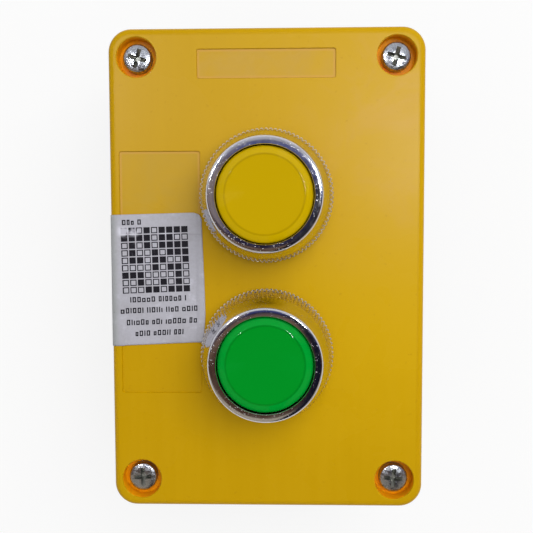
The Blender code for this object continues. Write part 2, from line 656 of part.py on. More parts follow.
def make_knurl(name, parent):
    """The tapered band of straight serrations: every second line of a cone is drawn in."""
    bm = bmesh.new()
    bottom = FLANGE_DIAMETER / 2.0
    bmesh.ops.create_cone(bm, cap_ends=True, segments=2 * KNURL_TEETH, radius1=bottom,
                          radius2=FLANGE_TOP_DIAMETER / 2.0, depth=KNURL_TOP - KNURL_BOTTOM)
    for vert in bm.verts:
        step = round(math.atan2(vert.co.y, vert.co.x) / math.tau * 2 * KNURL_TEETH)
        if step % 2:
            radius = vert.co.xy.length
            vert.co.xy = vert.co.xy * ((radius - KNURL_DEPTH) / radius)
        vert.co.z += (KNURL_BOTTOM + KNURL_TOP) / 2.0
    return add_part(name, finish_mesh(bm), "chrome", parent)


def make_bezel(color, frame):
    """The chromed head: knurled flange, tapered ring and the barrel that passes the panel."""
    name = f"{color}_bezel"
    barrel = BARREL_DIAMETER / 2.0
    ring = RING_DIAMETER / 2.0
    foot = CONE_FOOT_DIAMETER / 2.0
    bezel = turned(name, "chrome", [
        (0.0, RING_HEIGHT),
        *rounded_edge(ring, RING_HEIGHT, RING_LIP_ROUND, RING_HEIGHT - RING_SHOULDER, LIP_STEPS),
        (foot, CONE_FOOT_HEIGHT),
        (foot, KNURL_BOTTOM + SIDE_GAP),
        (RIM_RADIUS, KNURL_BOTTOM + SIDE_GAP),
        (RIM_RADIUS, FLANGE_BOTTOM),
        (GASKET_RECESS_RADIUS, FLANGE_BOTTOM),
        (GASKET_RECESS_RADIUS, RECESS_CEILING),
        (barrel, RECESS_CEILING),
        (barrel, BARREL_BOTTOM),
        (0.0, BARREL_BOTTOM),
    ], parent=frame)
    join(bezel, make_knurl(f"{name}_knurl", frame))
    key_half = KEY_WIDTH / 2.0
    key = box(f"{name}_key", (-key_half, barrel - KEY_REACH, SIDE_GAP - PANEL_THICKNESS),
              (key_half, barrel + KEY_REACH, -SEAT_GAP), "chrome", frame)
    join(bezel, key)
    slope = (ring - RING_LIP_WIDTH - CAP_BORE_RADIUS) / RING_INNER_SLOPE
    stem_hole = PLUNGER_STEM_DIAMETER / 2.0 + SIDE_GAP
    bore = turned(f"{name}_bore", "chrome", [
        (0.0, RING_HEIGHT + CUT_MARGIN),
        (ring - RING_LIP_WIDTH + slope * CUT_MARGIN, RING_HEIGHT + CUT_MARGIN),
        (CAP_BORE_RADIUS, RING_HEIGHT - RING_INNER_SLOPE),
        (CAP_BORE_RADIUS, SEAL_SHELF),
        (PLUNGER_BORE_RADIUS, SEAL_SHELF),
        (PLUNGER_BORE_RADIUS, WEB_TOP),
        (stem_hole, WEB_TOP),
        (stem_hole, WEB_BOTTOM),
        (ACTUATOR_BORE_RADIUS, WEB_BOTTOM),
        (ACTUATOR_BORE_RADIUS, BARREL_BOTTOM - CUT_MARGIN),
        (0.0, BARREL_BOTTOM - CUT_MARGIN),
    ], parent=frame)
    cut(bezel, bore)
    return bezel


def make_seals(color, frame):
    """The gasket under the flange and the ring seal between the bezel and the plunger."""
    inner = PANEL_HOLE_DIAMETER / 2.0 + PANEL_GASKET_MARGIN
    tube(f"{color}_panel_gasket", "rubber", inner, GASKET_RECESS_RADIUS - SEAT_GAP, SEAT_GAP,
         SEAT_GAP + PANEL_GASKET_THICKNESS, RING_STEPS, frame)
    tube(f"{color}_plunger_seal", "rubber", PLUNGER_FLANGE_DIAMETER / 2.0 + SIDE_GAP,
         CAP_BORE_RADIUS - SEAT_GAP, SEAL_BOTTOM, SEAL_TOP, RING_STEPS, frame)


def make_cap(color, frame):
    """The button's cap: a dished top, a skirt and the socket that grips the plunger's neck."""
    outer = CAP_DIAMETER / 2.0
    dish = CAP_DISH_DIAMETER / 2.0
    dish_floor = CAP_HEIGHT - CAP_DISH_DEPTH
    socket = NECK_DIAMETER / 2.0 + SIDE_GAP
    boss = socket + CAP_BOSS_WALL
    boss_bottom = PLUNGER_FLANGE_TOP + SIDE_GAP
    skirt = outer - CAP_SKIRT
    turned(f"{color}_cap", f"{color}_cap", [
        (0.0, dish_floor),
        (dish - CAP_DISH_SLOPE, dish_floor),
        (dish, CAP_HEIGHT),
        *rounded_edge(outer, CAP_HEIGHT, CAP_EDGE_WIDTH, CAP_EDGE_HEIGHT, LIP_STEPS),
        (outer, CAP_SKIRT_BOTTOM),
        (skirt, CAP_SKIRT_BOTTOM),
        (skirt, CAP_CEILING),
        (boss, CAP_CEILING),
        (boss, boss_bottom),
        (socket, boss_bottom),
        (socket, CAP_CEILING),
        (0.0, CAP_CEILING),
    ], parent=frame)


def make_plunger(color, frame):
    """The plunger with its flange for the spring and its tail for the actuator."""
    neck = NECK_DIAMETER / 2.0
    flange = PLUNGER_FLANGE_DIAMETER / 2.0
    stem = PLUNGER_STEM_DIAMETER / 2.0
    tail = PLUNGER_TAIL_DIAMETER / 2.0
    turned(f"{color}_plunger", "inner_plastic", [
        (0.0, CAP_CEILING - SIDE_GAP),
        (neck - NECK_CHAMFER, CAP_CEILING - SIDE_GAP),
        (neck, CAP_CEILING - SIDE_GAP - NECK_CHAMFER),
        (neck, PLUNGER_FLANGE_TOP),
        (flange, PLUNGER_FLANGE_TOP),
        (flange, PLUNGER_FLANGE_BOTTOM),
        (stem, PLUNGER_FLANGE_BOTTOM),
        (stem, ACTUATOR_TOP + SEAT_GAP),
        (tail, ACTUATOR_TOP + SEAT_GAP),
        (tail, ACTUATOR_BOTTOM),
        (0.0, ACTUATOR_BOTTOM),
    ], steps=RING_STEPS, parent=frame)
    tube(f"{color}_actuator", "inner_plastic", tail + SIDE_GAP, ACTUATOR_DIAMETER / 2.0, ACTUATOR_BOTTOM,
         ACTUATOR_TOP, RING_STEPS, frame)
    coil(f"{color}_return_spring", "zinc", (RETURN_SPRING_DIAMETER - RETURN_SPRING_WIRE) / 2.0,
         RETURN_SPRING_WIRE, WEB_TOP + SEAT_GAP, PLUNGER_FLANGE_BOTTOM - SEAT_GAP, RETURN_SPRING_TURNS,
         COIL_STEPS, frame)


def pusher_hole(name, low, high, frame):
    """The cutter for the window that a contact pusher slides in."""
    half_x = PUSHER_WIDTH / 2.0 + SIDE_GAP
    half_y = PUSHER_LENGTH / 2.0 + SIDE_GAP
    return box(name, (BLOCK_X - half_x, -half_y, low), (BLOCK_X + half_x, half_y, high), parent=frame)


def make_collar(color, frame):
    """The collar behind the panel with its two set screws."""
    name = f"{color}_mounting_collar"
    collar = moulded_box(name, "zinc", COLLAR_WIDTH, COLLAR_LENGTH, COLLAR_BOTTOM, COLLAR_TOP, COLLAR_CORNER,
                         parent=frame)
    cut(collar, turned(f"{name}_bore", "zinc", [
        (0.0, COLLAR_TOP + CUT_MARGIN),
        (COLLAR_BORE_RADIUS, COLLAR_TOP + CUT_MARGIN),
        (COLLAR_BORE_RADIUS, COLLAR_LEDGE),
        (ACTUATOR_BORE_RADIUS, COLLAR_LEDGE),
        (ACTUATOR_BORE_RADIUS, COLLAR_BOTTOM - CUT_MARGIN),
        (0.0, COLLAR_BOTTOM - CUT_MARGIN),
    ], parent=frame))
    cut(collar, pusher_hole(f"{name}_window", COLLAR_BOTTOM - CUT_MARGIN, COLLAR_LEDGE + CUT_MARGIN, frame))
    top = FIXING_SCREW_SEAT + FIXING_SCREW_LENGTH + SCREW_TIP_ROOM
    cut(collar, cylinder(f"{name}_fixing_hole", FIXING_SCREW_DIAMETER / 2.0 + THREAD_GAP,
                         COLLAR_BOTTOM - CUT_MARGIN, top, (FIXING_SCREW_X, FIXING_SCREW_Y), SMALL_STEPS,
                         parent=frame))
    for number, side in enumerate((1.0, -1.0), 1):
        place = (side * COLLAR_SCREW_X, -side * COLLAR_SCREW_Y)
        radius = COLLAR_SCREW_DIAMETER / 2.0
        cut(collar, cylinder(f"{name}_screw_hole_{number}", radius + THREAD_GAP, COLLAR_BOTTOM - CUT_MARGIN,
                             COLLAR_TOP + CUT_MARGIN, place, SMALL_STEPS, parent=frame))
        tip = -PANEL_THICKNESS - SEAT_GAP
        pin = turned(f"{color}_collar_screw_{number}", "zinc", [
            (0.0, tip),
            (0.5 * radius, tip),
            (radius, tip - 0.5 * radius),
            (radius, COLLAR_BOTTOM),
            (0.0, COLLAR_BOTTOM),
        ], steps=SMALL_STEPS, parent=frame)
        pin.location = (*place, 0.0)
        slot_low = (-radius - CUT_MARGIN, -SLOT_WIDTH / 2.0, COLLAR_BOTTOM - CUT_MARGIN)
        slot_high = (radius + CUT_MARGIN, SLOT_WIDTH / 2.0, COLLAR_BOTTOM + SLOT_DEPTH)
        cut(pin, box(f"{color}_collar_screw_{number}_slot", slot_low, slot_high, parent=pin))


def make_contact_housing(color, frame):
    """The contact block's case, open on one side for the cover and at both ends for wires."""
    name = f"{color}_contact_housing"
    half_length = BLOCK_LENGTH / 2.0
    outer_x = BLOCK_X - BLOCK_WIDTH / 2.0
    case = box(name, (outer_x, -half_length, BLOCK_BOTTOM), (BLOCK_SIDE_X, half_length, BLOCK_TOP),
               parent=frame)
    ear_low = (BLOCK_SIDE_X - BLOCK_WALL, FIXING_SCREW_Y - EAR_WIDTH / 2.0, EAR_BOTTOM)
    ear_high = (BLOCK_SIDE_X + EAR_LENGTH, FIXING_SCREW_Y + EAR_WIDTH / 2.0, BLOCK_TOP)
    join(case, box(f"{name}_ear", ear_low, ear_high, parent=frame))
    ear_top = BLOCK_TOP + CUT_MARGIN
    cut(case, cylinder(f"{name}_ear_hole", FIXING_SCREW_DIAMETER / 2.0 + SIDE_GAP, EAR_BOTTOM - CUT_MARGIN,
                       ear_top, (FIXING_SCREW_X, FIXING_SCREW_Y), SMALL_STEPS, parent=frame))
    room_low = (outer_x + BLOCK_WALL, -ROOM_HALF, ROOM_FLOOR)
    room_high = (BLOCK_SIDE_X + CUT_MARGIN, ROOM_HALF, ROOM_CEILING)
    cut(case, box(f"{name}_room", room_low, room_high, parent=frame))
    seat_low = (BLOCK_SIDE_X - COVER_THICKNESS - SEAT_GAP, -ROOM_HALF - COVER_LAP, ROOM_FLOOR - COVER_LAP)
    seat_high = (BLOCK_SIDE_X + CUT_MARGIN, ROOM_HALF + COVER_LAP, ROOM_CEILING + COVER_LAP)
    cut(case, box(f"{name}_cover_seat", seat_low, seat_high, parent=frame))
    cut(case, pusher_hole(f"{name}_pusher_hole", ROOM_CEILING - CUT_MARGIN, ear_top, frame))
    pocket_x = BLOCK_WIDTH / 2.0 - BLOCK_WALL
    slot_x = STRIP_WIDTH / 2.0 + SIDE_GAP
    for number, side in enumerate((1.0, -1.0), 1):
        ends = sorted((side * POCKET_INNER_Y, side * (half_length + CUT_MARGIN)))
        cut(case, box(f"{name}_pocket_{number}", (BLOCK_X - pocket_x, ends[0], BLOCK_BOTTOM - CUT_MARGIN),
                      (BLOCK_X + pocket_x, ends[1], POCKET_CEILING), parent=frame))
        ends = sorted((side * (ROOM_HALF - SIDE_GAP), side * (POCKET_INNER_Y + SIDE_GAP)))
        cut(case, box(f"{name}_strip_slot_{number}", (BLOCK_X - slot_x, ends[0], STRIP_BOTTOM - SIDE_GAP),
                      (BLOCK_X + slot_x, ends[1], STRIP_TOP + SIDE_GAP), parent=frame))
    lap = COVER_LAP - SEAT_GAP
    box(f"{color}_contact_cover", (BLOCK_SIDE_X - COVER_THICKNESS, -ROOM_HALF - lap, ROOM_FLOOR - lap),
        (BLOCK_SIDE_X, ROOM_HALF + lap, ROOM_CEILING + lap), parent=frame)
    slotted_screw(f"{color}_contact_fixing_screw", FIXING_SCREW_HEAD_DIAMETER, FIXING_SCREW_HEAD_HEIGHT,
                  FIXING_SCREW_DIAMETER, FIXING_SCREW_LENGTH,
                  (FIXING_SCREW_X, FIXING_SCREW_Y, FIXING_SCREW_SEAT), frame)


def make_contact_mechanism(color, frame):
    """The pusher, the bridge that it carries, and the spring under it."""
    half_x = PUSHER_WIDTH / 2.0
    half_y = PUSHER_LENGTH / 2.0
    pusher = box(f"{color}_contact_pusher", (BLOCK_X - half_x, -half_y, PUSHER_BOTTOM),
                 (BLOCK_X + half_x, half_y, PUSHER_TOP), "pusher_plastic", frame)
    window_x = BRIDGE_WIDTH / 2.0 + SIDE_GAP
    cut(pusher, box(f"{color}_contact_pusher_window",
                    (BLOCK_X - window_x, -half_y - CUT_MARGIN, BRIDGE_BOTTOM - SEAT_GAP),
                    (BLOCK_X + window_x, half_y + CUT_MARGIN, BRIDGE_TOP + SEAT_GAP), parent=frame))
    bridge_y = BRIDGE_LENGTH / 2.0
    bridge = box(f"{color}_contact_bridge", (BLOCK_X - BRIDGE_WIDTH / 2.0, -bridge_y, BRIDGE_BOTTOM),
                 (BLOCK_X + BRIDGE_WIDTH / 2.0, bridge_y, BRIDGE_TOP), "brass", frame)
    for number, side in enumerate((1.0, -1.0), 1):
        tip = cylinder(f"{color}_contact_bridge_tip_{number}", CONTACT_TIP_DIAMETER / 2.0,
                       BRIDGE_BOTTOM - CONTACT_TIP_HEIGHT, BRIDGE_BOTTOM + BRIDGE_THICKNESS / 2.0,
                       (BLOCK_X, side * CONTACT_TIP_Y), SMALL_STEPS, parent=frame)
        join(bridge, tip)
    coil(f"{color}_contact_spring", "zinc", (CONTACT_SPRING_DIAMETER - CONTACT_SPRING_WIRE) / 2.0,
         CONTACT_SPRING_WIRE, ROOM_FLOOR + SEAT_GAP, PUSHER_BOTTOM - SEAT_GAP, CONTACT_SPRING_TURNS,
         SMALL_COIL_STEPS, frame, BLOCK_X)


def make_terminals(color, frame):
    """The two fixed contact strips with their wire clamps and screws."""
    half_width = STRIP_WIDTH / 2.0
    half_clamp = TERMINAL_CLAMP_SIZE / 2.0
    hole = TERMINAL_SCREW_DIAMETER / 2.0 + THREAD_GAP
    for number, side in enumerate((1.0, -1.0), 1):
        name = f"{color}_terminal_{number}"
        screw_y = side * TERMINAL_SCREW_Y
        ends = sorted((side * STRIP_INNER_END, side * (BLOCK_LENGTH / 2.0 - STRIP_OUTER_INSET)))
        strip = box(name, (BLOCK_X - half_width, ends[0], STRIP_BOTTOM),
                    (BLOCK_X + half_width, ends[1], STRIP_TOP), "brass", frame)
        join(strip, cylinder(f"{name}_tip", CONTACT_TIP_DIAMETER / 2.0, STRIP_TOP - STRIP_THICKNESS / 2.0,
                             STRIP_TIP_TOP, (BLOCK_X, side * CONTACT_TIP_Y), SMALL_STEPS, parent=frame))
        cut(strip, cylinder(f"{name}_hole", hole, STRIP_BOTTOM - CUT_MARGIN, STRIP_TOP + CUT_MARGIN,
                            (BLOCK_X, screw_y), SMALL_STEPS, parent=frame))
        clamp = box(f"{color}_terminal_clamp_{number}",
                    (BLOCK_X - half_clamp, screw_y - half_clamp, CLAMP_BOTTOM),
                    (BLOCK_X + half_clamp, screw_y + half_clamp, CLAMP_TOP), "zinc", frame)
        cut(clamp, cylinder(f"{name}_clamp_hole", hole, CLAMP_BOTTOM - CUT_MARGIN, CLAMP_TOP + CUT_MARGIN,
                            (BLOCK_X, screw_y), SMALL_STEPS, parent=frame))
        slotted_screw(f"{color}_terminal_screw_{number}", TERMINAL_SCREW_HEAD_DIAMETER,
                      TERMINAL_SCREW_HEAD_HEIGHT, TERMINAL_SCREW_DIAMETER, TERMINAL_SCREW_LENGTH,
                      (BLOCK_X, screw_y, TERMINAL_SCREW_SEAT), frame)


def make_button(color, button_y):
    """One push button with its contact block, on an empty at its axis in the lid's face."""
    frame = bpy.data.objects.new(f"{color}_button_axis", None)
    PARTS.objects.link(frame)
    frame.location = (0.0, button_y, FACE_Z)
    make_bezel(color, frame)
    make_seals(color, frame)
    make_cap(color, frame)
    make_plunger(color, frame)
    make_collar(color, frame)
    make_contact_housing(color, frame)
    make_contact_mechanism(color, frame)
    make_terminals(color, frame)


BUTTONS = (
    ("yellow", BUTTON_MIDDLE_Y + BUTTON_PITCH / 2.0),
    ("green", BUTTON_MIDDLE_Y - BUTTON_PITCH / 2.0),
)

make_base()
make_lid_gasket()
make_lid()
make_lid_screws()
for button_color, button_place in BUTTONS:
    make_button(button_color, button_place)
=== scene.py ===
"""The looks of a two-button control station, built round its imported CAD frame."""

import math
import random

import bmesh
import bpy
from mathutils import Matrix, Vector, noise


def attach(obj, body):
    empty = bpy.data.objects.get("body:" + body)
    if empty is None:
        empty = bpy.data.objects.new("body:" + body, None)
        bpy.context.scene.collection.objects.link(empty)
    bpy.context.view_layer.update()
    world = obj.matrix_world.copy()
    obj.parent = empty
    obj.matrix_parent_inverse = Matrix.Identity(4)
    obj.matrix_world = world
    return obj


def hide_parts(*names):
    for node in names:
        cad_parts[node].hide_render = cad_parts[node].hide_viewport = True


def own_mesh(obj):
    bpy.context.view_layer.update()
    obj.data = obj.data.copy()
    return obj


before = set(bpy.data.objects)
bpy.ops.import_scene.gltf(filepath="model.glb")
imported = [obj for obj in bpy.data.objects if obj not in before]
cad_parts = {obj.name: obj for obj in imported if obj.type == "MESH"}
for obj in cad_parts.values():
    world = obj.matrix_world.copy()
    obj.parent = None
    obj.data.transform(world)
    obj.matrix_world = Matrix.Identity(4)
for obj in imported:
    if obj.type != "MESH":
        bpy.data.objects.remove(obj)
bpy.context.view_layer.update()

MM = 0.001

# The box and its lid, in millimetres. Heights are above the back face.
BOX_WIDTH = 69.0
BOX_HEIGHT = 105.7
LID_BOTTOM = 33.0
FACE = 52.0
PANEL_UNDERSIDE = FACE - 2.6
PILLAR_SPLIT = 34.5
PILLAR_RADIUS = 5.8
CORNER = 5.0
INNER_CORNER_LEAST = 0.5
LID_EDGE = 1.4
LID_DRAFT = 0.2
SIDE_WALL = 2.5
REBATE_GROW = 1.2
PANEL_HOLE = 11.2
CUT_MARGIN = 1.0

# The lid's shallow recesses: the middle and the size of each
TOP_RECESS = (0.0, 44.95, 29.8, 6.1)
SIDE_RECESS = (-23.3, -0.3, 17.5, 53.0)
RECESS_DEPTH = 0.3
RECESS_LEAN = 0.3
RECESS_CORNER = 0.5

# The lid screws and their stepped holes. Heights of a screw are above its seat.
SCREW_X = 28.1
SCREW_Y = 46.45
SCREW_PLACES = ((-SCREW_X, SCREW_Y), (SCREW_X, SCREW_Y), (-SCREW_X, -SCREW_Y), (SCREW_X, -SCREW_Y))
SCREW_TURNS = (-0.28, -0.26, 0.05, -0.08)
SCREW_HOLE = 1.8
SCREW_RADIUS = 1.5
SCREW_TIP_RADIUS = 0.9
SCREW_TIP = -25.0
SCREW_TAPER = -24.2
SCREW_HEAD = 3.15
SCREW_HEAD_HEIGHT = 2.3
SCREW_HEAD_ROUND = [(0.0, SCREW_HEAD_HEIGHT), (1.2, 2.28), (1.8, 2.23), (2.3, 2.15), (2.8, 2.06),
                    (2.97, 1.98), (3.1, 1.84), (3.14, 1.65), (SCREW_HEAD, 1.4)]
COUNTERBORE = 4.3
COUNTERBORE_FLOOR = FACE - 3.6
COUNTERBORE_MOUTH = 0.3
COUNTERBORE_FOOT = 0.2
BORE_MARGIN = 0.02
BORE_LOWEST = COUNTERBORE_FLOOR - 0.1
BORE_HIGHEST = FACE - 0.05
SCREW_SEAT = COUNTERBORE_FLOOR + 0.2

# The cross recess from its top down: height above the head, reach and half width of its arms
CROSS_RINGS = ((0.6, 2.35, 0.52), (0.0, 2.15, 0.46), (-1.0, 1.35, 0.38), (-1.7, 0.5, 0.3))

# A head's faces take the darker, rougher plating inside the recess, as painted shade, from this height up to
# this far below its round
CROSS_LOWEST = 0.3
CROSS_BELOW_ROUND = 0.06

# The buttons and the bore of their bezels. Heights are above the lid's face.
BUTTONS = (("yellow", 16.6), ("green", -18.1))
STEM_HOLE = 4.5
PLUNGER_BORE = 7.6
ACTUATOR_BORE = 8.5
CAP_BORE = 10.3
BARREL = 10.9
BARREL_BOTTOM = -11.9
WEB_BOTTOM = -9.0
WEB_TOP = -7.5
SEAL_SHELF = 1.5
GASKET_RECESS = 13.25
GASKET_CEILING = 0.9
RIM = 13.85
RIM_BOTTOM = 0.2
KNURL_BOTTOM = 1.0
KNURL_TEETH = 90

# The serrations from below: radius over the teeth, height and depth of the grooves
KNURL_ROWS = ((14.4, KNURL_BOTTOM, 0.3), (14.5, 1.1, 0.42), (14.5, 1.26, 0.45), (14.37, 1.32, 0.45),
              (13.62, 7.1, 0.36))

# The bezel's mirror cone and its rounded lip, as radius and height
RING_POINTS = [(13.25, 8.0), (12.5, 10.7), (11.88, 13.25), (11.87, 13.5), (11.86, 13.75), (11.83, 13.93),
               (11.79, 14.03), (11.72, 14.12), (11.63, 14.19), (11.53, 14.232), (11.42, 14.26),
               (11.32, 14.272), (10.92, 14.291), (10.82, 14.295), (10.14, 14.3), (10.06, 14.18)]
RING_STEP = [(10.06, 13.4), (CAP_BORE, 13.2)]

# The cap: its dish and rounded rim as radius and height, and the sizes below them
CAP_DISH = [(0.0, 13.88), (4.0, 13.885), (7.6, 13.915), (7.9, 13.93), (8.05, 13.936)]
CAP_ROUND = [(9.4, 13.587), (9.6, 13.51), (9.78, 13.38), (9.88, 13.2), (9.93, 13.0)]

# The soft edge between the two: the fall of each step in degrees, a step's width, and decimals kept
CAP_EDGE_FALLS = (1.0, 3.5, 7.0, 10.5, 14.0, 16.5, 17.5)
CAP_EDGE_STEP = 0.08
CAP_EDGE_DECIMALS = 4
CAP_RADIUS = 9.95
CAP_RIM = 12.7
CAP_SKIRT_BOTTOM = 7.1
CAP_CHAMFER = 0.2
CAP_SKIRT = 8.55
CAP_CEILING = 12.2
CAP_BOSS = 6.8
CAP_BOSS_BOTTOM = 3.9
CAP_SOCKET = 5.3

# The label: its upper left corner where the lid's side begins, and its run along and down
LABEL_CORNER = (-34.36, 12.48)
LABEL_WIDTH = 20.15
LABEL_HEIGHT = 28.95
LABEL_TILT = math.radians(1.5)
LABEL_TWIST = math.radians(1.1)
LABEL_LEAN = math.radians(1.0)
LABEL_WRAP = 4.0
LABEL_ROUND = 1.8
LABEL_LIFT = 0.05
LABEL_THICKNESS = 0.1
LABEL_STEP = 0.45

# The label's right side bows out and draws in again: how far, from where and over what run
LABEL_BOW = (0.28, 0.0, 21.0)
LABEL_TUCK = (0.4, 22.0, 7.0)

# How the label sinks into the recess, waves and creases
SINK_FROM = 0.15
SINK_RUN = 0.9
WAVE = 0.05
WAVE_SCALE = 0.22
WAVE_LEVEL = 3.0
CREASE = 0.07
CREASE_DOWN = 4.5
CREASE_HALF = 0.3

# The label's print: a grid of boxes, and rows of bars and boxes as middle, start, end and height
PRINT_SEED = 7
PRINT_STEP = 0.13
GRID_COUNT = 9
GRID_START = (2.28, 2.9)
GRID_PITCH = (1.66, 1.64)
GRID_SIZE = 1.4
GRID_LINE = 0.22
GRID_FILLED = 0.52
PRINT_ROWS = ((1.72, 2.6, 7.0, 1.15), (18.85, 3.8, 16.4, 1.2), (21.25, 1.7, 18.6, 1.2),
              (23.88, 2.9, 17.8, 1.25), (26.4, 4.8, 15.8, 1.2))
PRINT_WIDTHS = (2, 5, 6, 6)
PRINT_DROPS = (0.0, 0.0, 0.25)
WORD_LENGTHS = (3, 6)
BAR_STEPS = 3
LETTER_LINE = 2
LETTER_GAP = 2
WORD_GAP = 6

# Where the lid's colour changes, from its middle: along X for the across ones and along Y for the others.
# They place a painted sheen over the upper face, painted light towards the upper right, pinkish smudges
# inside the painted sheen, and the pale patches in the recesses
SHEEN_LIMITS = (6.0, 52.0)
PAINTED_LIGHT_LIMITS = (-45.0, 5.0)
PAINTED_LIGHT_ACROSS = (-28.0, 22.0)
SMUDGE_SHEEN_ACROSS = (-6.0, 30.0)
TOP_PALE_ACROSS = (11.5, 7.5)
SIDE_RESIDUE_LIMITS = (-4.0, 12.0)
RECESS_LINE_LIMITS = (-2.0, 12.0)

# Where the lid's rounded edge begins, from the middles of its corner rounds
RIM_LIMITS = (CORNER - 1.5, CORNER - 1.95)

# How far the lid's cloudiness shifts its painted sheen at most, in metres
SHEEN_WAVE = 0.03

# The painted highlight band and the painted shade line along a recess: how much longer their other sides are
# than the recess's
RECESS_HIGHLIGHT_LINE = -0.9
RECESS_SHADE_LINE = 0.3

# The groove in a cap's colour, which is painted shade, and the lighter rim, which is painted light: radii
# where the shade begins, is full from and to, and gives way to the rim
GROOVE_START = 7.8
GROOVE_FULL = 8.1
GROOVE_END = 8.2
RIM_LIGHT = 8.5

# Places on the label, from the lid's middle: rubbed print, the painted shade along the crease and the grey
# edge
WORN_PRINT = (-30.5, 8.9, 4.4, 1.9)
CREASE_SHADE_LINE = (-16.0, 8.25, 3.6, 0.1)
GREY_ACROSS = (-32.2, -33.7)

# How softly a marked place ends, to each side of its edge
HARD = 0.04
CREASE_SOFT = 0.06
MEDIUM = 0.1
SOFT = 0.2
WORN_SOFT = 0.6

# Steps of the finer shapes
CORNER_STEPS = 12
EDGE_STEPS = 6
MOUTH_STEPS = 4
RECESS_STEPS = 4
HOLE_STEPS = 64
PANEL_HOLE_STEPS = 96
CAP_STEPS = 128
STEPS_PER_TOOTH = 3
SHARP = math.radians(32.0)
LID_SHARP = math.radians(20.0)
SAME_PLACE = 1e-6
SAME_LABEL_PLACE = 1e-5
SAME_HEIGHT = 1e-4

# The stage, in metres
FLOOR_SIZE = (3.0, 3.0)
FLOOR_COLOR = 0.8
FLOOR_GLOW = 0.82
CARD_SIZE = (3.2, 3.2)
CARD_HEIGHT = 1.0
OVERHEAD_PLACE = (0.3, 0.35, 0.95)
OVERHEAD_TARGET = (0.0, 0.0, 0.03)
OVERHEAD_SIZE = 0.8
OVERHEAD_POWER = 8.2
LAMP_TARGET = (0.0, 0.0, 0.06)
LAMP_SIZE = 0.022
LAMP_SPACING = 0.036
LAMP_ROWS = (("left", (-0.29, 0.17, 0.93), 0.5), ("right", (0.19, 0.10, 0.93), 0.7))
SKY_LIGHT = 0.5
SKY_RISE = 0.22
SKY_LOW = 0.3
SKY_HIGH = 0.95

# The camera: its place over the lid's face and its focal length in pixels of a 533 pixel wide image
CAMERA_PLACE = (5.1138, 13.7632, FACE + 177.0)
CAMERA_TURN = (-0.0713, 0.029, -0.0035)
FOCAL_PIXELS = 811.46
IMAGE_PIXELS = 533
SENSOR = 36.0
CLIP_START = 0.01
CLIP_END = 10.0


def srgb(red, green, blue):
    """A colour given as it looks on screen, from 0 to 255, in linear light."""
    return tuple(value / 255.0 / 12.92 if value <= 10.3 else ((value / 255.0 + 0.055) / 1.055) ** 2.4
                 for value in (red, green, blue))


def feed(tree, socket, value):
    """Link an output to a socket, or set the socket's value."""
    if isinstance(value, bpy.types.NodeSocket):
        tree.links.new(value, socket)
    else:
        socket.default_value = value


def add_node(tree, kind, **inputs):
    """A node with its inputs set or linked by name."""
    item = tree.nodes.new(kind)
    for name, value in inputs.items():
        feed(tree, item.inputs[name.replace("_", " ")], value)
    return item


def add_maths(tree, operation, *values):
    """One or two values put through an operation."""
    item = tree.nodes.new("ShaderNodeMath")
    item.operation = operation
    for socket, value in zip(item.inputs, values):
        feed(tree, socket, value)
    return item.outputs[0]


def mix_shaders(tree, share, first, second):
    """Two shaders mixed by a share."""
    item = tree.nodes.new("ShaderNodeMixShader")
    for socket, value in zip(item.inputs, (share, first.outputs[0], second.outputs[0])):
        feed(tree, socket, value)
    return item.outputs[0]


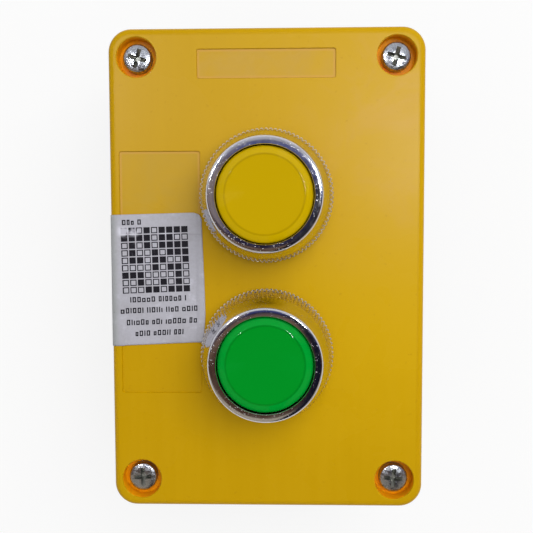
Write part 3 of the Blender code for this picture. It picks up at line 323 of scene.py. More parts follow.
class Finish:
    """A procedural material that is put together node by node."""

    def __init__(self, name, color, roughness, metallic=0.0, specular=0.5):
        self.material = bpy.data.materials.new(name)
        self.material.use_nodes = True
        self.tree = self.material.node_tree
        self.shader = self.tree.nodes["Principled BSDF"]
        self.shader.inputs["Base Color"].default_value = (*color, 1.0)
        self.shader.inputs["Roughness"].default_value = roughness
        self.shader.inputs["Metallic"].default_value = metallic
        self.shader.inputs["Specular IOR Level"].default_value = specular
        self.material.diffuse_color = (*color, 1.0)
        self.place = add_node(self.tree, "ShaderNodeTexCoord").outputs["Object"]

    def stretched(self, scale):
        """The object's coordinates, scaled along each axis."""
        return add_node(self.tree, "ShaderNodeMapping", Vector=self.place, Scale=scale).outputs["Vector"]

    def noise(self, scale, detail=3.0, rough=0.55, place=None, distort=0.0):
        """A noise value from 0 to 1."""
        item = add_node(self.tree, "ShaderNodeTexNoise", Vector=place or self.place, Scale=scale,
                        Detail=detail, Roughness=rough, Distortion=distort)
        return item.outputs["Fac"]

    def ranged(self, value, low, high, to_low=0.0, to_high=1.0):
        """A value mapped softly from one range to another, and kept inside it."""
        item = add_node(self.tree, "ShaderNodeMapRange", Value=value, From_Min=low, From_Max=high,
                        To_Min=to_low, To_Max=to_high)
        item.interpolation_type = "SMOOTHSTEP"
        return item.outputs["Result"]

    def between(self, value, limits, to_low=0.0, to_high=1.0):
        """A length mapped softly between two limits in millimetres."""
        return self.ranged(value, limits[0] * MM, limits[1] * MM, to_low, to_high)

    def maths(self, operation, *values):
        """One or two values put through an operation."""
        return add_maths(self.tree, operation, *values)

    def product(self, *values):
        """Values multiplied one after another."""
        total = values[0]
        for value in values[1:]:
            total = self.maths("MULTIPLY", total, value)
        return total

    def axis(self, name):
        """One of the object's coordinates, in metres."""
        return add_node(self.tree, "ShaderNodeSeparateXYZ", Vector=self.place).outputs[name]

    def inside(self, place, soft=MEDIUM):
        """A value that is 1 inside a rectangle given by its middle and size, and ends softly."""
        sides = []
        for name, middle, size in (("X", place[0], place[2]), ("Y", place[1], place[3])):
            away = self.maths("ABSOLUTE", self.maths("SUBTRACT", self.axis(name), middle * MM))
            sides.append(self.between(away, (size / 2.0 + soft, size / 2.0 - soft)))
        return self.product(*sides)

    def band(self, place, wider, soft):
        """A value that is 1 between a rectangle and one whose sides are longer or shorter."""
        other = (place[0], place[1], place[2] + wider, place[3] + wider)
        small, large = (other, place) if wider < 0.0 else (place, other)
        outside = self.maths("SUBTRACT", 1.0, self.inside(small, soft))
        return self.product(self.inside(large, HARD), outside)

    def from_corners(self):
        """How far a place lies beyond the middles of the lid's corner rounds, in metres."""
        squares = []
        for name, size in (("X", BOX_WIDTH), ("Y", BOX_HEIGHT)):
            away = self.maths("ABSOLUTE", self.axis(name))
            beyond = self.maths("MAXIMUM", self.maths("SUBTRACT", away, (size / 2.0 - CORNER) * MM), 0.0)
            squares.append(self.product(beyond, beyond))
        return self.maths("SQRT", self.maths("ADD", *squares))

    def mix(self, share, first, second):
        """Two colours mixed by a share."""
        item = self.tree.nodes.new("ShaderNodeMix")
        item.data_type = "RGBA"
        feed(self.tree, item.inputs[0], share)
        for socket, value in ((item.inputs[6], first), (item.inputs[7], second)):
            feed(self.tree, socket, (*value, 1.0) if isinstance(value, tuple) else value)
        return item.outputs[2]

    def tint(self, value, color, *shares):
        """A colour laid over another one, by the product of some shares."""
        return self.mix(self.product(*shares), value, color)

    def color(self, value):
        """Link the base colour."""
        feed(self.tree, self.shader.inputs["Base Color"], value)

    def roughness(self, value):
        """Link the roughness."""
        feed(self.tree, self.shader.inputs["Roughness"], value)

    def bump(self, height, distance, strength=1.0):
        """Raise the surface by a height value, on top of any earlier bump."""
        normal = self.shader.inputs["Normal"]
        earlier = normal.links[0].from_socket if normal.is_linked else None
        item = add_node(self.tree, "ShaderNodeBump", Height=height, Strength=strength, Distance=distance)
        if earlier:
            feed(self.tree, item.inputs["Normal"], earlier)
        feed(self.tree, normal, item.outputs["Normal"])


def lid_finish():
    """Moulded plastic, saturated below, with painted light brighter towards the upper right, a painted sheen
    above, soft streaks, residue in the side recess, a paler patch in the top recess, and painted highlight
    and shade lines along the recesses.
    """
    deep = srgb(187, 145, 0)
    item = Finish("lid_plastic", deep, 0.28, specular=0.08)
    height = item.axis("Y")
    flat = item.between(item.from_corners(), RIM_LIMITS)
    cloud = item.noise(38.0, 4.0, 0.6, distort=0.4)
    lifted = item.maths("ADD", height, item.product(cloud, SHEEN_WAVE))
    painted_sheen = item.product(item.between(lifted, SHEEN_LIMITS), flat)
    bright = item.product(item.between(item.axis("X"), PAINTED_LIGHT_ACROSS), item.between(lifted, PAINTED_LIGHT_LIMITS))
    worn = item.ranged(item.noise(70.0, 5.0, 0.65, distort=0.8), 0.42, 0.68)
    right = item.between(item.axis("X"), SMUDGE_SHEEN_ACROSS)
    streak = item.ranged(item.noise(1.0, 3.0, 0.6, item.stretched((420.0, 26.0, 60.0))), 0.35, 0.75)
    grime = item.ranged(item.noise(900.0, 2.0, 0.5), 0.66, 0.78, 0.0, 0.22)
    # Painted light: the plastic is lighter towards the upper right, where the lamps fall brighter
    value = item.tint(deep, srgb(201, 159, 0), bright)
    # Painted sheen: a paler, greyer colour over the flat upper face stands in for a reflection of the light
    # above
    value = item.tint(value, srgb(195, 154, 40), painted_sheen, 0.5)
    # Pinkish smudges at the right, only inside the painted sheen: real smudges shown with a painted
    # reflection on them
    value = item.tint(value, srgb(206, 160, 98), worn, right, painted_sheen, 0.24)
    value = item.tint(value, srgb(204, 162, 22), streak, 0.12)
    value = item.tint(value, srgb(160, 112, 4), grime)
    # A pale mottle in the recesses: residue in the side recess, and a paler patch over the left part of the
    # top recess
    recess_mottle = item.ranged(item.noise(120.0, 4.0, 0.6, distort=0.6), 0.3, 0.6, 0.35, 0.75)
    fade = item.between(item.axis("X"), TOP_PALE_ACROSS, 0.6, 1.0)
    value = item.tint(value, srgb(190, 152, 66), item.inside(TOP_RECESS), fade, recess_mottle)
    fade = item.between(height, SIDE_RESIDUE_LIMITS)
    value = item.tint(value, srgb(184, 148, 50), item.inside(SIDE_RECESS), fade, recess_mottle)
    above = item.between(height, RECESS_LINE_LIMITS)
    # Along the upper part of each recess: a pale band inside its edge is a painted highlight, and a thin dark
    # line just outside its edge is painted shade
    for place in (TOP_RECESS, SIDE_RECESS):
        value = item.tint(value, srgb(204, 154, 84), item.band(place, RECESS_HIGHLIGHT_LINE, SOFT), above, 0.4)
        value = item.tint(value, srgb(128, 90, 10), item.band(place, RECESS_SHADE_LINE, HARD), above, 0.12)
    # The rounded rim keeps a deeper colour without the painted sheen, a little darker than the face: painted
    # shade on the rounding, with the same painted light towards the upper right
    edge = item.tint(srgb(186, 144, 0), srgb(194, 151, 0), bright)
    item.color(item.tint(edge, value, flat))
    item.roughness(item.ranged(cloud, 0.2, 0.8, 0.24, 0.32))
    item.bump(item.noise(1500.0, 2.0, 0.6), 0.00003, 0.25)
    item.bump(item.noise(55.0, 2.0, 0.5), 0.00012, 0.25)
    return item.material


def base_finish():
    """Dark moulded plastic with a fine grain and rubbed patches."""
    item = Finish("base_plastic", (0.03, 0.03, 0.033), 0.5, specular=0.4)
    rub = item.ranged(item.noise(60.0, 4.0, 0.6), 0.45, 0.75)
    item.color(item.tint((0.026, 0.026, 0.029), (0.05, 0.05, 0.054), rub))
    item.roughness(item.ranged(rub, 0.0, 1.0, 0.42, 0.6))
    item.bump(item.noise(1900.0, 2.0, 0.6), 0.00005, 0.5)
    return item.material


def cap_finish(name, deep, light, mark):
    """Glossy moulded plastic, with painted light making it lighter outside the dish, a painted shade line at
    the groove and faint handling marks.
    """
    item = Finish(name, deep, 0.05, specular=0.14)
    smudge = item.ranged(item.noise(110.0, 4.0, 0.6, distort=0.6), 0.58, 0.8, 0.0, 0.3)
    cloud = item.noise(90.0, 3.0, 0.5)
    flat = add_node(item.tree, "ShaderNodeVectorMath", Vector=item.stretched((1.0, 1.0, 0.0)))
    flat.operation = "LENGTH"
    reach = flat.outputs["Value"]
    # Painted light: the sloping rim outside the dish is lighter
    value = item.tint(deep, light, item.between(reach, (GROOVE_FULL, RIM_LIGHT)))
    # Painted shade: a darker line where the dish meets the rim
    value = item.tint(value, tuple(share * 0.6 for share in deep),
                      item.between(reach, (GROOVE_START, GROOVE_FULL)),
                      item.between(reach, (RIM_LIGHT, GROOVE_END)), 0.5)
    value = item.tint(value, light, item.ranged(cloud, 0.45, 0.75, 0.0, 0.25))
    item.color(item.tint(value, mark, smudge))
    item.roughness(item.ranged(cloud, 0.25, 0.75, 0.03, 0.07))
    item.bump(item.noise(240.0, 2.0, 0.5), 0.00004, 0.12)
    return item.material


def metal_finish(name, color, roughness, stain, share, scale=260.0, scratch=0.1, dent=0.00002):
    """Plated metal with fine wear, stains and dull specks."""
    item = Finish(name, color, roughness, metallic=1.0)
    item.color(item.tint(color, stain, item.ranged(item.noise(scale, 5.0, 0.7), 0.52, 0.72, 0.0, share)))
    worn = item.ranged(item.noise(scale * 1.7, 4.0, 0.6), 0.3, 0.75, roughness * 0.7, roughness * 1.7)
    specks = item.ranged(item.noise(3000.0, 2.0, 0.6), 0.62, 0.68, 0.0, 0.5)
    scuffed = item.ranged(item.noise(scale, 3.0, 0.6), 0.45, 0.6)
    item.roughness(item.maths("ADD", worn, item.product(specks, scuffed)))
    item.bump(item.noise(1.0, 3.0, 0.6, item.stretched((1800.0, 1800.0, 500.0))), dent, scratch)
    return item.material


def dull_finish(name, color, light, roughness, scale=500.0, specular=0.5):
    """Rubber or plain plastic with a faint mottle."""
    item = Finish(name, color, roughness, specular=specular)
    cloud = item.noise(scale, 3.0, 0.6)
    item.color(item.tint(color, light, item.ranged(cloud, 0.35, 0.7)))
    item.roughness(item.ranged(cloud, 0.3, 0.7, roughness * 0.85, min(roughness * 1.2, 1.0)))
    item.bump(item.noise(scale * 3.0, 2.0, 0.6), 0.00003, 0.4)
    return item.material


def worn_print(item):
    """A value that is high where the label's print is rubbed off, near its upper left."""
    rubbed = item.ranged(item.noise(420.0, 3.0, 0.6), 0.4, 0.56)
    return item.product(item.inside(WORN_PRINT, WORN_SOFT), rubbed)


def paper_finish():
    """White label stock, smudged, with painted shade along a crease near its upper right and grey along the
    lid's edge.
    """
    clean = srgb(173, 172, 181)
    item = Finish("label_paper", clean, 0.6, specular=0.2)
    bright = item.ranged(item.noise(210.0, 4.0, 0.6, item.stretched((1.0, 1.5, 1.0))), 0.54, 0.7, 0.0, 0.5)
    smudge = item.ranged(item.noise(150.0, 5.0, 0.65, distort=0.5), 0.44, 0.7)
    fibre = item.ranged(item.noise(1500.0, 3.0, 0.7), 0.35, 0.75, 0.0, 0.24)
    edge = item.between(item.axis("X"), GREY_ACROSS, 0.0, 0.55)
    specks = item.ranged(item.noise(900.0, 3.0, 0.6), 0.62, 0.72, 0.0, 0.5)
    crease = item.inside(CREASE_SHADE_LINE, CREASE_SOFT)
    value = item.tint(clean, srgb(202, 202, 214), bright)
    value = item.tint(value, srgb(154, 152, 158), smudge, 0.5)
    value = item.tint(value, srgb(146, 144, 150), fibre)
    value = item.tint(value, srgb(152, 156, 152), edge)
    value = item.tint(value, srgb(92, 98, 92), specks, edge)
    # Painted shade: a dark line along part of the crease
    value = item.tint(value, srgb(110, 110, 118), crease, 0.4)
    item.color(item.tint(value, srgb(214, 214, 224), worn_print(item), 0.7))
    item.bump(item.noise(1200.0, 3.0, 0.6), 0.00002, 0.5)
    item.bump(item.noise(110.0, 3.0, 0.6), 0.00012, 0.3)
    return item.material


def ink_finish():
    """Black print, thin in places and rubbed off near the label's upper left."""
    black = srgb(22, 20, 28)
    item = Finish("label_ink", black, 0.5, specular=0.12)
    thin = item.ranged(item.noise(700.0, 4.0, 0.7), 0.55, 0.78, 0.0, 0.35)
    value = item.tint(black, srgb(100, 96, 104), thin)
    item.color(item.tint(value, srgb(196, 195, 206), worn_print(item), 0.85))
    item.bump(item.noise(1200.0, 3.0, 0.6), 0.00002, 0.4)
    return item.material


# Plated metals: colour, roughness, colour and share of the stains, their scale, and the dents
METALS = {
    "chrome": (srgb(214, 214, 220), 0.07, srgb(150, 140, 124), 0.35),
    # The dark chrome inside a bezel's lip and bore is painted dark reflection and shade
    "chrome_dark": (srgb(92, 82, 82), 0.22, srgb(64, 50, 42), 0.7),
    "chrome_knurl": (srgb(210, 204, 194), 0.22, srgb(126, 104, 70), 0.55, 420.0),
    "zinc": (srgb(176, 180, 186), 0.2, srgb(72, 70, 74), 0.95, 900.0, 1.0, 0.00004),
    # The darker zinc lines the cross recesses: painted shade
    "zinc_dark": (srgb(152, 154, 148), 0.4, srgb(96, 96, 88), 0.6, 600.0, 0.3),
    "brass": (srgb(208, 172, 108), 0.3, srgb(140, 104, 56), 0.5),
}

# Dull plastics and rubber: colour, lighter colour, roughness, scale of the mottle and shine
DULLS = {
    # The counterbores take a brighter, more orange copy of the lid plastic: painted light inside the holes
    "lid_bore": (srgb(242, 158, 6), srgb(248, 172, 10), 0.4, 300.0, 0.1),
    "rubber": ((0.018, 0.018, 0.018), (0.03, 0.03, 0.03), 0.7),
    "inner_plastic": ((0.045, 0.045, 0.05), (0.06, 0.06, 0.066), 0.45),
    "pusher_plastic": ((0.02, 0.30, 0.09), (0.03, 0.36, 0.12), 0.4),
}

# Caps: colour in the dish, the lighter one outside it, which is painted light, and of the handling marks
CAPS = {
    "yellow_cap": (srgb(187, 154, 0), srgb(193, 161, 0), srgb(204, 176, 64)),
    "green_cap": (srgb(0, 138, 34), srgb(0, 149, 46), srgb(20, 152, 62)),
}

FINISHES = {
    "lid_plastic": lid_finish(),
    "base_plastic": base_finish(),
    "label_paper": paper_finish(),
    "label_ink": ink_finish(),
}
for make, table in ((metal_finish, METALS), (dull_finish, DULLS), (cap_finish, CAPS)):
    for name, values in table.items():
        FINISHES[name] = make(name, *values)

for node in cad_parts.values():
    for place in node.material_slots:
        place.material = FINISHES[place.material.name.split(".")[0]]


def add_object(name, data):
    """Put data in the scene as an object."""
    item = bpy.data.objects.new(name, data)
    bpy.context.scene.collection.objects.link(item)
    return item


def add_piece(name, mesh, *finishes):
    """Put a mesh in the scene with its materials."""
    mesh.name = name
    for finish in finishes:
        mesh.materials.append(FINISHES[finish])
    return add_object(name, mesh)


def to_mesh(bm):
    """Turn a bmesh in millimetres into a smooth-shaded mesh in metres."""
    bmesh.ops.recalc_face_normals(bm, faces=bm.faces)
    bmesh.ops.scale(bm, vec=(MM, MM, MM), verts=bm.verts)
    mesh = bpy.data.meshes.new("mesh")
    bm.to_mesh(mesh)
    bm.free()
    shade(mesh, SHARP)
    return mesh


def shade(mesh, sharp):
    """Shade a mesh smooth, apart from edges that turn by more than an angle."""
    mesh.shade_smooth()
    mesh.set_sharp_from_angle(angle=sharp)


def arc(centre, width, height, start, end, steps):
    """Points on a quarter of an ellipse or less, by its angles from the radius axis in degrees."""
    points = []
    for step in range(steps + 1):
        angle = math.radians(start + (end - start) * step / steps)
        points.append((centre[0] + width * math.cos(angle), centre[1] + height * math.sin(angle)))
    return points


def turned_bmesh(profile, steps, closed=False, depths=None, slots=None):
    """A turned shape from radii and heights. Rows with a depth have every third line drawn in as a groove."""
    depths = depths or {}
    slots = slots or {}
    bm = bmesh.new()
    rows = []
    for index, (radius, height) in enumerate(profile):
        row = []
        for step in range(steps):
            angle = math.tau * step / steps
            reach = radius - (0.0 if step % STEPS_PER_TOOTH else depths.get(index, 0.0))
            row.append(bm.verts.new((reach * math.cos(angle), reach * math.sin(angle), height)))
        rows.append(row)
    pairs = [(index, index + 1) for index in range(len(rows) - 1)]
    if closed:
        pairs.append((len(rows) - 1, 0))
    for first, second in pairs:
        lower, upper = rows[first], rows[second]
        for step in range(steps):
            other = (step + 1) % steps
            face = bm.faces.new((lower[step], lower[other], upper[other], upper[step]))
            face.material_index = slots.get(first, 0)
    bmesh.ops.remove_doubles(bm, verts=bm.verts, dist=SAME_PLACE)
    return bm


def upright_edges(bm):
    """The edges that join two heights."""
    return [edge for edge in bm.edges if abs(edge.verts[0].co.z - edge.verts[1].co.z) > SAME_HEIGHT]


def box_bmesh(width, height, low, high, spread, corner, steps):
    """A box with rounded upright edges, whose upper end is wider by a spread on each side."""
    bm = bmesh.new()
    bmesh.ops.create_cube(bm, size=1.0)
    for vert in bm.verts:
        wider = spread if vert.co.z > 0.0 else 0.0
        vert.co.x *= width + 2.0 * wider
        vert.co.y *= height + 2.0 * wider
        vert.co.z = high if vert.co.z > 0.0 else low
    bmesh.ops.bevel(bm, geom=upright_edges(bm), offset=corner, segments=steps, profile=0.5, affect="EDGES")
    return bm


def apply_modifiers(item):
    """Keep an object's evaluated mesh in place of its modifiers."""
    graph = bpy.context.evaluated_depsgraph_get()
    mesh = bpy.data.meshes.new_from_object(item.evaluated_get(graph))
    item.modifiers.clear()
    item.data = mesh


def cut(item, meshes):
    """Take the volumes of some meshes out of an object."""
    tools = []
    for number, mesh in enumerate(meshes):
        tool = add_object(f"tool_{number}", mesh)
        tools.append(tool)
        step = item.modifiers.new(tool.name, "BOOLEAN")
        step.operation = "DIFFERENCE"
        step.solver = "EXACT"
        step.object = tool
    apply_modifiers(item)
    for tool in tools:
        bpy.data.objects.remove(tool)


def shifted_mesh(bm, x, y):
    """A mesh of a bmesh that is moved along the lid's face."""
    bmesh.ops.translate(bm, vec=(x, y, 0.0), verts=bm.verts)
    return to_mesh(bm)


def hollow_mesh(high, grow, with_pillars):
    """The room inside the lid, up to a height, with or without the screw pillars left standing."""
    corner = max(CORNER - SIDE_WALL, INNER_CORNER_LEAST) + grow / 2.0
    width, height = (size - 2.0 * SIDE_WALL + grow for size in (BOX_WIDTH, BOX_HEIGHT))
    room = add_piece("room", to_mesh(box_bmesh(width, height, LID_BOTTOM - CUT_MARGIN, high, 0.0, corner,
                                               CORNER_STEPS)))
    if with_pillars:
        profile = [(0.0, FACE), (PILLAR_RADIUS, FACE), (PILLAR_RADIUS, PILLAR_SPLIT), (0.0, PILLAR_SPLIT)]
        cut(room, [shifted_mesh(turned_bmesh(profile, HOLE_STEPS), x, y) for x, y in SCREW_PLACES])
    mesh = room.data
    bpy.data.objects.remove(room)
    return mesh


def counterbore_bmesh():
    """The stepped hole of a lid screw, with a softened mouth."""
    wide = COUNTERBORE + COUNTERBORE_MOUTH
    mouth = arc((wide, FACE - COUNTERBORE_MOUTH), -COUNTERBORE_MOUTH, COUNTERBORE_MOUTH, 0.0, 90.0,
                MOUTH_STEPS)
    profile = [(0.0, FACE + CUT_MARGIN), (wide, FACE + CUT_MARGIN)] + mouth[::-1]
    profile += [(COUNTERBORE, COUNTERBORE_FLOOR + COUNTERBORE_FOOT),
                (COUNTERBORE - COUNTERBORE_FOOT, COUNTERBORE_FLOOR), (SCREW_HOLE, COUNTERBORE_FLOOR),
                (SCREW_HOLE, PILLAR_SPLIT - CUT_MARGIN), (0.0, PILLAR_SPLIT - CUT_MARGIN)]
    return turned_bmesh(profile, HOLE_STEPS)


def lid_body_bmesh():
    """The lid's outer form, with rounded upright edges, drafted sides and a rounded rim."""
    bm = box_bmesh(BOX_WIDTH, BOX_HEIGHT, LID_BOTTOM, FACE, -LID_DRAFT, CORNER, CORNER_STEPS)
    rim = [edge for edge in bm.edges if all(abs(vert.co.z - FACE) < SAME_HEIGHT for vert in edge.verts)]
    bmesh.ops.bevel(bm, geom=rim, offset=LID_EDGE, segments=EDGE_STEPS, profile=0.5, affect="EDGES")
    return bm


def make_lid():
    """The front shell with rounded rims, screw holes, panel holes and shallow recesses."""
    lid = add_piece("lid_shell", to_mesh(lid_body_bmesh()), "lid_plastic", "lid_bore")
    tools = [hollow_mesh(PANEL_UNDERSIDE, 0.0, True), hollow_mesh(PILLAR_SPLIT, 2.0 * REBATE_GROW, False)]
    tools += [shifted_mesh(counterbore_bmesh(), x, y) for x, y in SCREW_PLACES]
    top = FACE + CUT_MARGIN
    bottom = PANEL_UNDERSIDE - CUT_MARGIN
    profile = [(0.0, top), (PANEL_HOLE, top), (PANEL_HOLE, bottom), (0.0, bottom)]
    tools += [shifted_mesh(turned_bmesh(profile, PANEL_HOLE_STEPS), 0.0, y) for _, y in BUTTONS]
    for x, y, width, height in (TOP_RECESS, SIDE_RECESS):
        tools.append(shifted_mesh(box_bmesh(width, height, FACE - RECESS_DEPTH, FACE + RECESS_DEPTH,
                                            RECESS_LEAN, RECESS_CORNER, RECESS_STEPS), x, y))
    cut(lid, tools)
    for face in lid.data.polygons:
        x, y, z = (value / MM for value in face.center)
        away = min(math.hypot(x - place[0], y - place[1]) for place in SCREW_PLACES)
        in_bore = away < COUNTERBORE + BORE_MARGIN
        face.material_index = int(in_bore and BORE_LOWEST < z < BORE_HIGHEST)
    shade(lid.data, LID_SHARP)
    weighted = lid.modifiers.new("weighted", "WEIGHTED_NORMAL")
    weighted.keep_sharp = True
    weighted.weight = 100
    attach(lid, "root")
    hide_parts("lid")


def make_bezel(color, y):
    """The chromed head: a tapered band of serrations, a mirror cone, a rounded lip and the barrel below."""
    profile = [(STEM_HOLE, WEB_TOP), (STEM_HOLE, WEB_BOTTOM), (ACTUATOR_BORE, WEB_BOTTOM),
               (ACTUATOR_BORE, BARREL_BOTTOM), (BARREL, BARREL_BOTTOM), (BARREL, GASKET_CEILING),
               (GASKET_RECESS, GASKET_CEILING), (GASKET_RECESS, RIM_BOTTOM), (RIM, RIM_BOTTOM),
               (RIM, KNURL_BOTTOM)]
    teeth_from = len(profile)
    profile += [(radius, height) for radius, height, _ in KNURL_ROWS]
    teeth_to = len(profile)
    profile += RING_POINTS
    shade_from = len(profile) - 1
    profile += RING_STEP + [(CAP_BORE, SEAL_SHELF), (PLUNGER_BORE, SEAL_SHELF), (PLUNGER_BORE, WEB_TOP)]
    depths = {teeth_from + row: depth for row, (_, _, depth) in enumerate(KNURL_ROWS)}
    slots = {row: 1 for row in range(teeth_from - 1, teeth_to)}
    # The lip's inner wall and the bore take the dark chrome: painted dark reflection and shade
    slots.update({row: 2 for row in range(shade_from, len(profile) - 2)})
    bm = turned_bmesh(profile, KNURL_TEETH * STEPS_PER_TOOTH, True, depths, slots)
    bezel = add_piece(f"{color}_bezel_ring", to_mesh(bm), "chrome", "chrome_knurl", "chrome_dark")
    bezel.location = (0.0, y * MM, FACE * MM)
    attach(bezel, "root")
    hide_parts(f"{color}_bezel")


def cap_top():
    """Radii and heights of a cap's upper side, from its middle outwards."""
    points = list(CAP_DISH)
    for fall in CAP_EDGE_FALLS:
        radius, height = points[-1]
        drop = CAP_EDGE_STEP * math.tan(math.radians(fall))
        points.append((round(radius + CAP_EDGE_STEP, CAP_EDGE_DECIMALS),
                       round(height - drop, CAP_EDGE_DECIMALS)))
    return points + CAP_ROUND


def make_cap(color, y):
    """The button's cap: a shallow dish with a soft edge, a rounded rim and the socket below."""
    profile = cap_top() + [
        (CAP_RADIUS, CAP_RIM),
        (CAP_RADIUS, CAP_SKIRT_BOTTOM + CAP_CHAMFER),
        (CAP_RADIUS - CAP_CHAMFER, CAP_SKIRT_BOTTOM),
        (CAP_SKIRT, CAP_SKIRT_BOTTOM),
        (CAP_SKIRT, CAP_CEILING),
        (CAP_BOSS, CAP_CEILING),
        (CAP_BOSS, CAP_BOSS_BOTTOM),
        (CAP_SOCKET, CAP_BOSS_BOTTOM),
        (CAP_SOCKET, CAP_CEILING),
        (0.0, CAP_CEILING),
    ]
    cap = add_piece(f"{color}_cap_face", to_mesh(turned_bmesh(profile, CAP_STEPS)), f"{color}_cap")
    cap.location = (0.0, y * MM, FACE * MM)
    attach(cap, f"{color}_button")
    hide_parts(f"{color}_cap")


def make_spring(color, kind, body):
    """A copy of a spring from the CAD frame, which moves with a body as a whole."""
    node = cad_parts[f"{color}_{kind}_spring"]
    spring = add_piece(f"{color}_{kind}_coil", node.data.copy())
    spring.matrix_world = node.matrix_world.copy()
    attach(spring, body)
    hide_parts(node.name)
    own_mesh(spring)


def cross_mesh():
    """A tapered cross that sinks the driver recess into a screw's head."""
    bm = bmesh.new()
    rings = []
    for above, reach, half in CROSS_RINGS:
        ring = []
        for quarter in range(4):
            angle = quarter * math.pi / 2.0
            for x, y in ((reach, -half), (reach, half), (half, half)):
                ring.append(bm.verts.new((x * math.cos(angle) - y * math.sin(angle),
                                          x * math.sin(angle) + y * math.cos(angle),
                                          SCREW_HEAD_HEIGHT + above)))
        rings.append(ring)
    for upper, lower in zip(rings, rings[1:]):
        for index in range(len(upper)):
            other = (index + 1) % len(upper)
            bm.faces.new((upper[index], upper[other], lower[other], lower[index]))
    bm.faces.new(rings[0])
    bm.faces.new(rings[-1])
    return to_mesh(bm)


def make_screw(number, place, turn):
    """A plated pan-head screw with a cross recess whose inside is painted darker, as shade."""
    profile = SCREW_HEAD_ROUND + [(SCREW_HEAD, 0.0), (SCREW_RADIUS, 0.0), (SCREW_RADIUS, SCREW_TAPER),
                                  (SCREW_TIP_RADIUS, SCREW_TIP), (0.0, SCREW_TIP)]
    mesh = to_mesh(turned_bmesh(profile, HOLE_STEPS))
    screw = add_piece(f"lid_screw_head_{number}", mesh, "zinc", "zinc_dark")
    cut(screw, [cross_mesh()])
    for face in screw.data.polygons:
        x, y, z = (value / MM for value in face.center)
        away = math.hypot(x, y)
        top = next((height for radius, height in SCREW_HEAD_ROUND if radius >= away), 0.0)
        face.material_index = int(CROSS_LOWEST < z < top - CROSS_BELOW_ROUND)
    shade(screw.data, SHARP)
    screw.location = (place[0] * MM, place[1] * MM, SCREW_SEAT * MM)
    screw.rotation_euler.z = turn
    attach(screw, "root")
    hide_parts(f"lid_screw_{number}")


def box_marks(left, right, top, bottom, line):
    """The four sides of an open printed box."""
    return [(left, right, top, top + line), (left, right, bottom - line, bottom),
            (left, left + line, top, bottom), (right - line, right, top, bottom)]


def label_marks():
    """The printed places as left, right, top and bottom from the label's visible corner."""
    draw = random.Random(PRINT_SEED)
    marks = []
    for row in range(GRID_COUNT):
        for column in range(GRID_COUNT):
            left = GRID_START[0] + column * GRID_PITCH[0]
            top = GRID_START[1] + row * GRID_PITCH[1]
            if draw.random() < GRID_FILLED:
                marks.append((left, left + GRID_SIZE, top, top + GRID_SIZE))
            else:
                marks += box_marks(left, left + GRID_SIZE, top, top + GRID_SIZE, GRID_LINE)
    for middle, left, end, height in PRINT_ROWS:
        room = draw.randint(*WORD_LENGTHS)
        bottom = middle + height / 2.0
        while left < end - PRINT_STEP:
            steps = draw.choice(PRINT_WIDTHS)
            wide = steps * PRINT_STEP
            top = middle - height / 2.0 + draw.choice(PRINT_DROPS)
            if steps > BAR_STEPS:
                marks += box_marks(left, left + wide, top, bottom, LETTER_LINE * PRINT_STEP)
            else:
                marks.append((left, left + wide, top, bottom))
            room -= 1
            left += wide + (LETTER_GAP if room else WORD_GAP) * PRINT_STEP
            room = room or draw.randint(*WORD_LENGTHS)
    return marks


def label_breaks(marks, first, low, high):
    """Grid lines at every edge of the marks, and no further apart than the label's step."""
    values = sorted({round(value, 4) for mark in marks for value in mark[first:first + 2]} | {low, high})
    values = [value for value in values if low <= value <= high]
    filled = []
    for start, end in zip(values, values[1:]):
        parts = max(1, math.ceil((end - start) / LABEL_STEP))
        filled += [start + (end - start) * part / parts for part in range(parts)]
    return filled + [high]


def smooth_step(value):
    """A share that eases in and out between 0 and 1."""
    value = min(max(value, 0.0), 1.0)
    return value * value * (3.0 - 2.0 * value)


def label_point(along, down):
    """Where a place on the label lies: on the face, in the recess, or round the lid's side."""
    corner = LABEL_WIDTH - LABEL_ROUND
    if down < LABEL_ROUND and along > corner:
        reach = math.sqrt(LABEL_ROUND ** 2 - (LABEL_ROUND - down) ** 2)
        along = corner + (along - corner) * reach / LABEL_ROUND
    tilt = LABEL_TILT + LABEL_TWIST * down / LABEL_HEIGHT
    bow, tuck = (size * smooth_step((down - start) / run) for size, start, run in (LABEL_BOW, LABEL_TUCK))
    bulge = (bow - tuck) * max(along, 0.0) / LABEL_WIDTH
    x = LABEL_CORNER[0] + along * math.cos(tilt) + down * math.sin(LABEL_LEAN) + bulge
    y = LABEL_CORNER[1] + along * math.sin(tilt) - down * math.cos(LABEL_LEAN)
    left = SIDE_RECESS[0] - SIDE_RECESS[2] / 2.0 + SINK_FROM
    right = SIDE_RECESS[0] + SIDE_RECESS[2] / 2.0 - SINK_FROM
    sink = RECESS_DEPTH * smooth_step((x - left) / SINK_RUN) * smooth_step((right - x) / SINK_RUN)
    wave = WAVE * noise.noise(Vector((x * WAVE_SCALE, y * WAVE_SCALE, WAVE_LEVEL))) + WAVE
    crease = CREASE * math.exp(-((down - CREASE_DOWN) / CREASE_HALF) ** 2)
    bend_at = LID_EDGE - (BOX_WIDTH / 2.0 - LID_DRAFT)
    if x >= bend_at:
        return (x, y, FACE + LABEL_LIFT + wave + crease - sink)
    run = bend_at - x
    radius = LID_EDGE + LABEL_LIFT
    angle = min(run / radius, math.pi / 2.0)
    below = max(run - radius * math.pi / 2.0, 0.0)
    draft = LID_DRAFT * (below + LID_EDGE) / (FACE - LID_BOTTOM)
    return (bend_at - radius * math.sin(angle) - draft, y, FACE - LID_EDGE + radius * math.cos(angle) - below)


